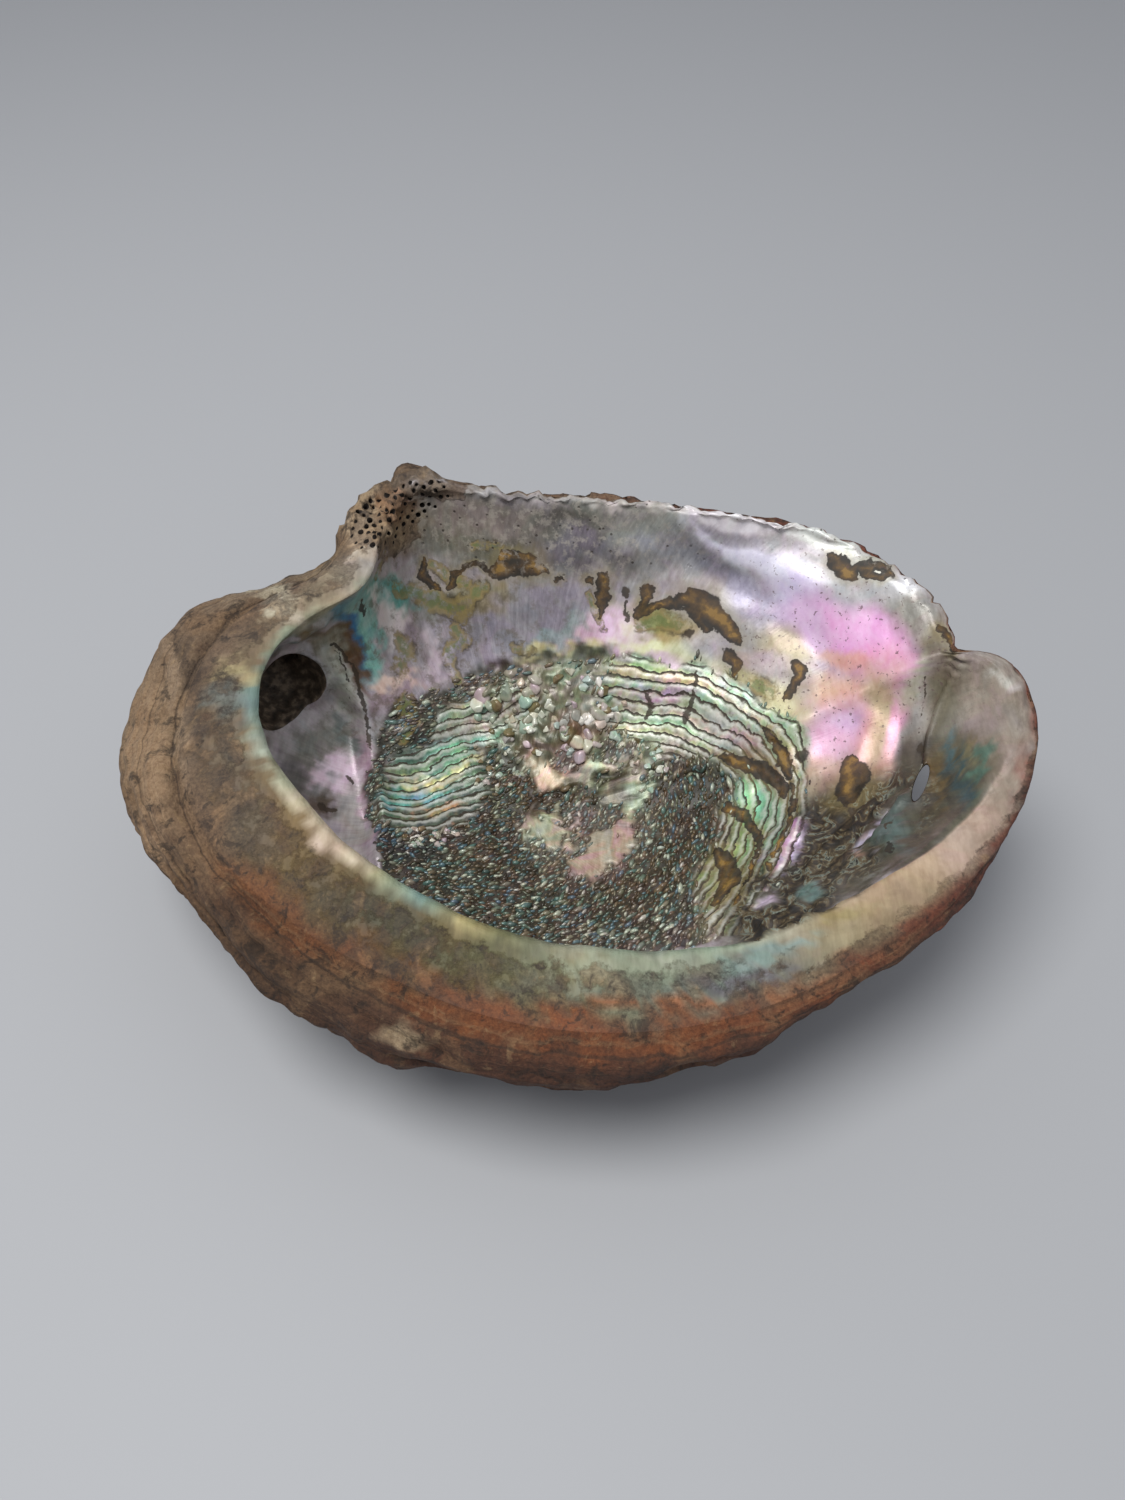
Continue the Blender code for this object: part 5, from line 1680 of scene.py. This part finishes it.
# %% Helpers for grains
GRAIN_GAP, GRAIN_BOX = (1.2, 0.95), (-50, 60, -36, 50)
GRAIN_JITTER, GRAIN_SUNK, GRAIN_TURN, GRAIN_SWELL = 0.42, 0.12, 0.32, 0.28
DROP_HEIGHT = 12.0
BEAD_SHINE = {"Roughness": 0.36, "Metallic": 0.12, "Coat Weight": 0.25}
BEAD_COVER = 0.7
GRAIN_SIZES = ((0.6, 1.25), (0.26, 0.48), (0.35, 0.8))
GRAIN_COLOURS = [
    "66786a", "4f7470", "c4c8b8", "5e4a34", "7a7a68", "3f5a58", "74604a", "3c2e20", "8c8874", "4f6e7c",
    "4a3826", "30261c", "5a4a36"]


def scatter(box, gap, generator):
    """Jittered places on a staggered grid."""
    xs, ys = np.arange(box[0], box[1], gap[0]), np.arange(box[2], box[3], gap[1])
    grid = np.stack(np.meshgrid(xs, ys), -1)
    grid[1::2, :, 0] += gap[0] / 2
    return (grid + generator.uniform(-GRAIN_JITTER, GRAIN_JITTER, grid.shape) * gap).reshape(-1, 2)


def settle(places, tree):
    """Drops places onto the bowl: the points and normals that they land on, in the frame's metres."""
    down = Vector(TILT @ np.array((0, 0, -1.0)))
    found = []
    for number, (x, y) in enumerate(places):
        start = Vector(in_frame(np.array([(x, y, DROP_HEIGHT)]))[0])
        hit, normal, _, _ = tree.ray_cast(start, down)
        if hit is not None:
            found.append((number, *hit, *normal))
    return np.array(found)


def stream_direction(x, y):
    """Which way the grains stream at a place, in the plane of the mouth."""
    angle = np.radians(24 + 46 * fade(x, -30, 45) + 10 * np.sin(y / 14))
    return np.stack([np.cos(angle), np.sin(angle), 0 * angle], 1)


def beads(prototype, points, normals, ways, sizes):
    """Copies of one small closed shape, each with its own place, directions and three half sizes."""
    across = np.cross(normals, ways)
    across /= np.linalg.norm(across, axis=1)[:, None]
    along = np.cross(across, normals)
    shape = np.array([vert.co for vert in prototype.verts])
    faces = np.array([[vert.index for vert in face.verts] for face in prototype.faces])
    frames = np.stack([along * sizes[:, :1], across * sizes[:, 1:2], normals * sizes[:, 2:3]], 1)
    co = points[:, None, :] + np.einsum("vk,nkc->nvc", shape, frames)
    corners = faces[None] + (np.arange(len(points)) * len(shape))[:, None, None]
    return co.reshape(-1, 3), corners.reshape(-1, faces.shape[1])


print(len(GRAIN_COLOURS), "colours of grains")

# %% [markdown]
# All the grains are one mesh. A bead is copied to every place that the scar's zones call grainy, laid along
# the stream and tinted between a colour of its own and the colour of the ground.

# %% Grains on the scar
bowl = bmesh.new()
bowl.from_mesh(shell.data)
tree = BVHTree.FromBMesh(bowl)
bowl.free()
grain_rng = np.random.default_rng(7)
places = scatter(GRAIN_BOX, GRAIN_GAP, grain_rng)
found = settle(places, tree)
places, points, normals = places[found[:, 0].astype(int)], found[:, 1:4], found[:, 4:7]
mouth = in_mouth(points)
u, v = in_photo(mouth)
zones = scar_zones(mouth, u, v)
keep = grain_rng.uniform(size=len(places)) < zones["grains"] * 1.1
places, points, normals, mouth, u, v = (a[keep] for a in (places, points, normals, mouth, u, v))
ways = stream_direction(places[:, 0], places[:, 1]) @ TILT.T
ways += grain_rng.normal(0, GRAIN_TURN, (len(places), 3))
swell = np.exp(grain_rng.normal(0, GRAIN_SWELL, len(places)))
sizes = np.stack([grain_rng.uniform(*span, len(places)) * swell for span in GRAIN_SIZES], 1) * MM
prototype = bmesh.new()
bmesh.ops.create_icosphere(prototype, subdivisions=1, radius=1.0)
co, corners = beads(prototype, points - normals * GRAIN_SUNK * MM, normals, ways, sizes)
corners_each = len(prototype.verts)
prototype.free()
palette = np.array([colour(code) for code in GRAIN_COLOURS])
chosen = palette[grain_rng.integers(0, len(palette), len(places))]
ground = paint(SCAR_STROKES, *bent_places(mouth, u, v), np.tile(colour(BARE_PEARL), (len(u), 1)))
bead_tint = np.repeat(chosen * BEAD_COVER + ground * (1 - BEAD_COVER), corners_each, axis=0)
mesh = bpy.data.meshes.new("scar_grains")
mesh.from_pydata(co.tolist(), [], corners.tolist())
bead_finish, g, shader = new_finish("bead_pearl")
painted = g.use(pearl, {"Place": g.place(), "Tint": g.tint("tint"), "Flash": 0.5})
g.feed(shader.inputs["Base Color"], painted["Colour"])
for name, value in BEAD_SHINE.items():
    shader.inputs[name].default_value = value
store(mesh, "tint", bead_tint)
grains = show(mesh, bead_finish)
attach(grains, "root")
print(len(places), "grains,", len(corners), "triangles")

# %% [markdown]
# ## Nodules
#
# Where the scar is oldest, pearl has grown into lumps like tiny knuckles. They stand among the chunky
# plates, with a cluster of small ones at the left. Each is a ball whose sides are pressed flat in random
# directions.

# %% Nodules
NODULE_FIELDS = [
    ((556, 712), (70, 42), -10, 60, 0.9, 1.9), ((510, 704), (40, 34), -20, 34, 1.2, 2.6),
    ((590, 735), (40, 24), -20, 22, 1.2, 2.5), ((430, 836), (28, 11), 0, 26, 0.9, 1.3),
    ((640, 765), (30, 26), 30, 26, 0.7, 1.4), ((500, 770), (30, 20), -20, 22, 0.7, 1.3)]
NODULE_CUTS, CUT_DEPTHS, NODULE_STRETCH, NODULE_LOWNESS = 13, (0.42, 0.78), (0.8, 1.3), 0.8
NODULE_COLOURS = ["d0cec0", "aeb0a0", "beb4a2", "9a9e8e", "beb2b2", "7a6c4e", "dcdace", "8f8c7c", "a8bcae"]


def seen_places(centre, half, turn, count, generator):
    """Photo places scattered in an ellipse."""
    radius, angle = np.sqrt(generator.uniform(size=count)), generator.uniform(0, 2 * math.pi, count)
    a, b = radius * np.cos(angle) * half[0], radius * np.sin(angle) * half[1]
    c, s = math.cos(math.radians(turn)), math.sin(math.radians(turn))
    return np.stack([centre[0] + a * c - b * s, centre[1] + a * s + b * c], 1)


nodule_rng = np.random.default_rng(31)
made = bmesh.new()
nodule_tints = []
for centre, half, turn, amount, small, large in NODULE_FIELDS:
    for u, v in seen_places(centre, half, turn, amount, nodule_rng):
        hit, normal, _, _ = tree.ray_cast(*sight_line(u, v))
        size = nodule_rng.uniform(small, large) * MM
        turned = lay_along(hit, normal) @ Matrix.Rotation(nodule_rng.uniform(0, 6.3), 4, "Z")
        length = size * nodule_rng.uniform(*NODULE_STRETCH)
        shape = turned @ Matrix.Diagonal((length, size, size * NODULE_LOWNESS, 1))
        lump = bmesh.ops.create_icosphere(made, subdivisions=3, radius=1.0)
        for way in nodule_rng.normal(size=(NODULE_CUTS, 3)):
            facing = Vector(way).normalized()
            cut = nodule_rng.uniform(*CUT_DEPTHS)
            for vert in lump["verts"]:
                vert.co -= facing * max(vert.co.dot(facing) - cut, 0)
        bmesh.ops.transform(made, verts=lump["verts"], matrix=shape)
        nodule_tints.append(colour(nodule_rng.choice(NODULE_COLOURS)))
mesh = to_mesh(made, "scar_nodules")
store(mesh, "tint", np.repeat(np.array(nodule_tints), len(mesh.vertices) // len(nodule_tints), axis=0))
nodules = show(mesh, bead_finish)
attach(nodules, "root")
print(len(nodule_tints), "nodules,", len(mesh.polygons), "faces")

# %% [markdown]
# ## Stage and light
#
# The photo shows the shell on a pale sheet under one broad soft light from above. The sheet and the light
# are the stage, not the shell. The sheet stays flat, so that the shell can be looked at from every side.

# %% Stage
SHEET_HALF_WIDTH, SHEET_GREY, SHEET_ROUGHNESS = 3.0, np.array((0.38, 0.385, 0.395)), 0.6
ROOM_COLOUR, ROOM_STRENGTH = (0.9, 0.93, 1.0, 1), 0.5
BOX_SIZE, BOX_WATTS, BOX_PLACE, BOX_TARGET = 0.6, 9, (-0.25, -0.15, 1.0), (0, 0.02, 0.03)
sheet = bmesh.new()
bmesh.ops.create_grid(sheet, x_segments=1, y_segments=1, size=SHEET_HALF_WIDTH)
sheet_finish, g, shader = new_finish("paper_sheet")
g.feed(shader.inputs["Base Color"], SHEET_GREY)
shader.inputs["Roughness"].default_value = SHEET_ROUGHNESS
sheet_thing = show(to_mesh(sheet, "paper_sheet"), sheet_finish)

world = bpy.context.scene.world or bpy.data.worlds.new("soft_room")
bpy.context.scene.world = world
world.use_nodes = True
background = world.node_tree.nodes["Background"]
background.inputs["Color"].default_value = ROOM_COLOUR
background.inputs["Strength"].default_value = ROOM_STRENGTH
soft = bpy.data.lights.new("soft_box", "AREA")
soft.shape = "DISK"
soft.size = BOX_SIZE
soft.energy = BOX_WATTS
soft_thing = in_scene("soft_box", soft)
soft_thing.location = BOX_PLACE
soft_thing.rotation_euler = (Vector(BOX_TARGET) - soft_thing.location).to_track_quat("-Z", "Y").to_euler()
bpy.context.scene.view_settings.view_transform = "Standard"
print("stage set, light", BOX_PLACE[2], "m above the floor")

# %% [markdown]
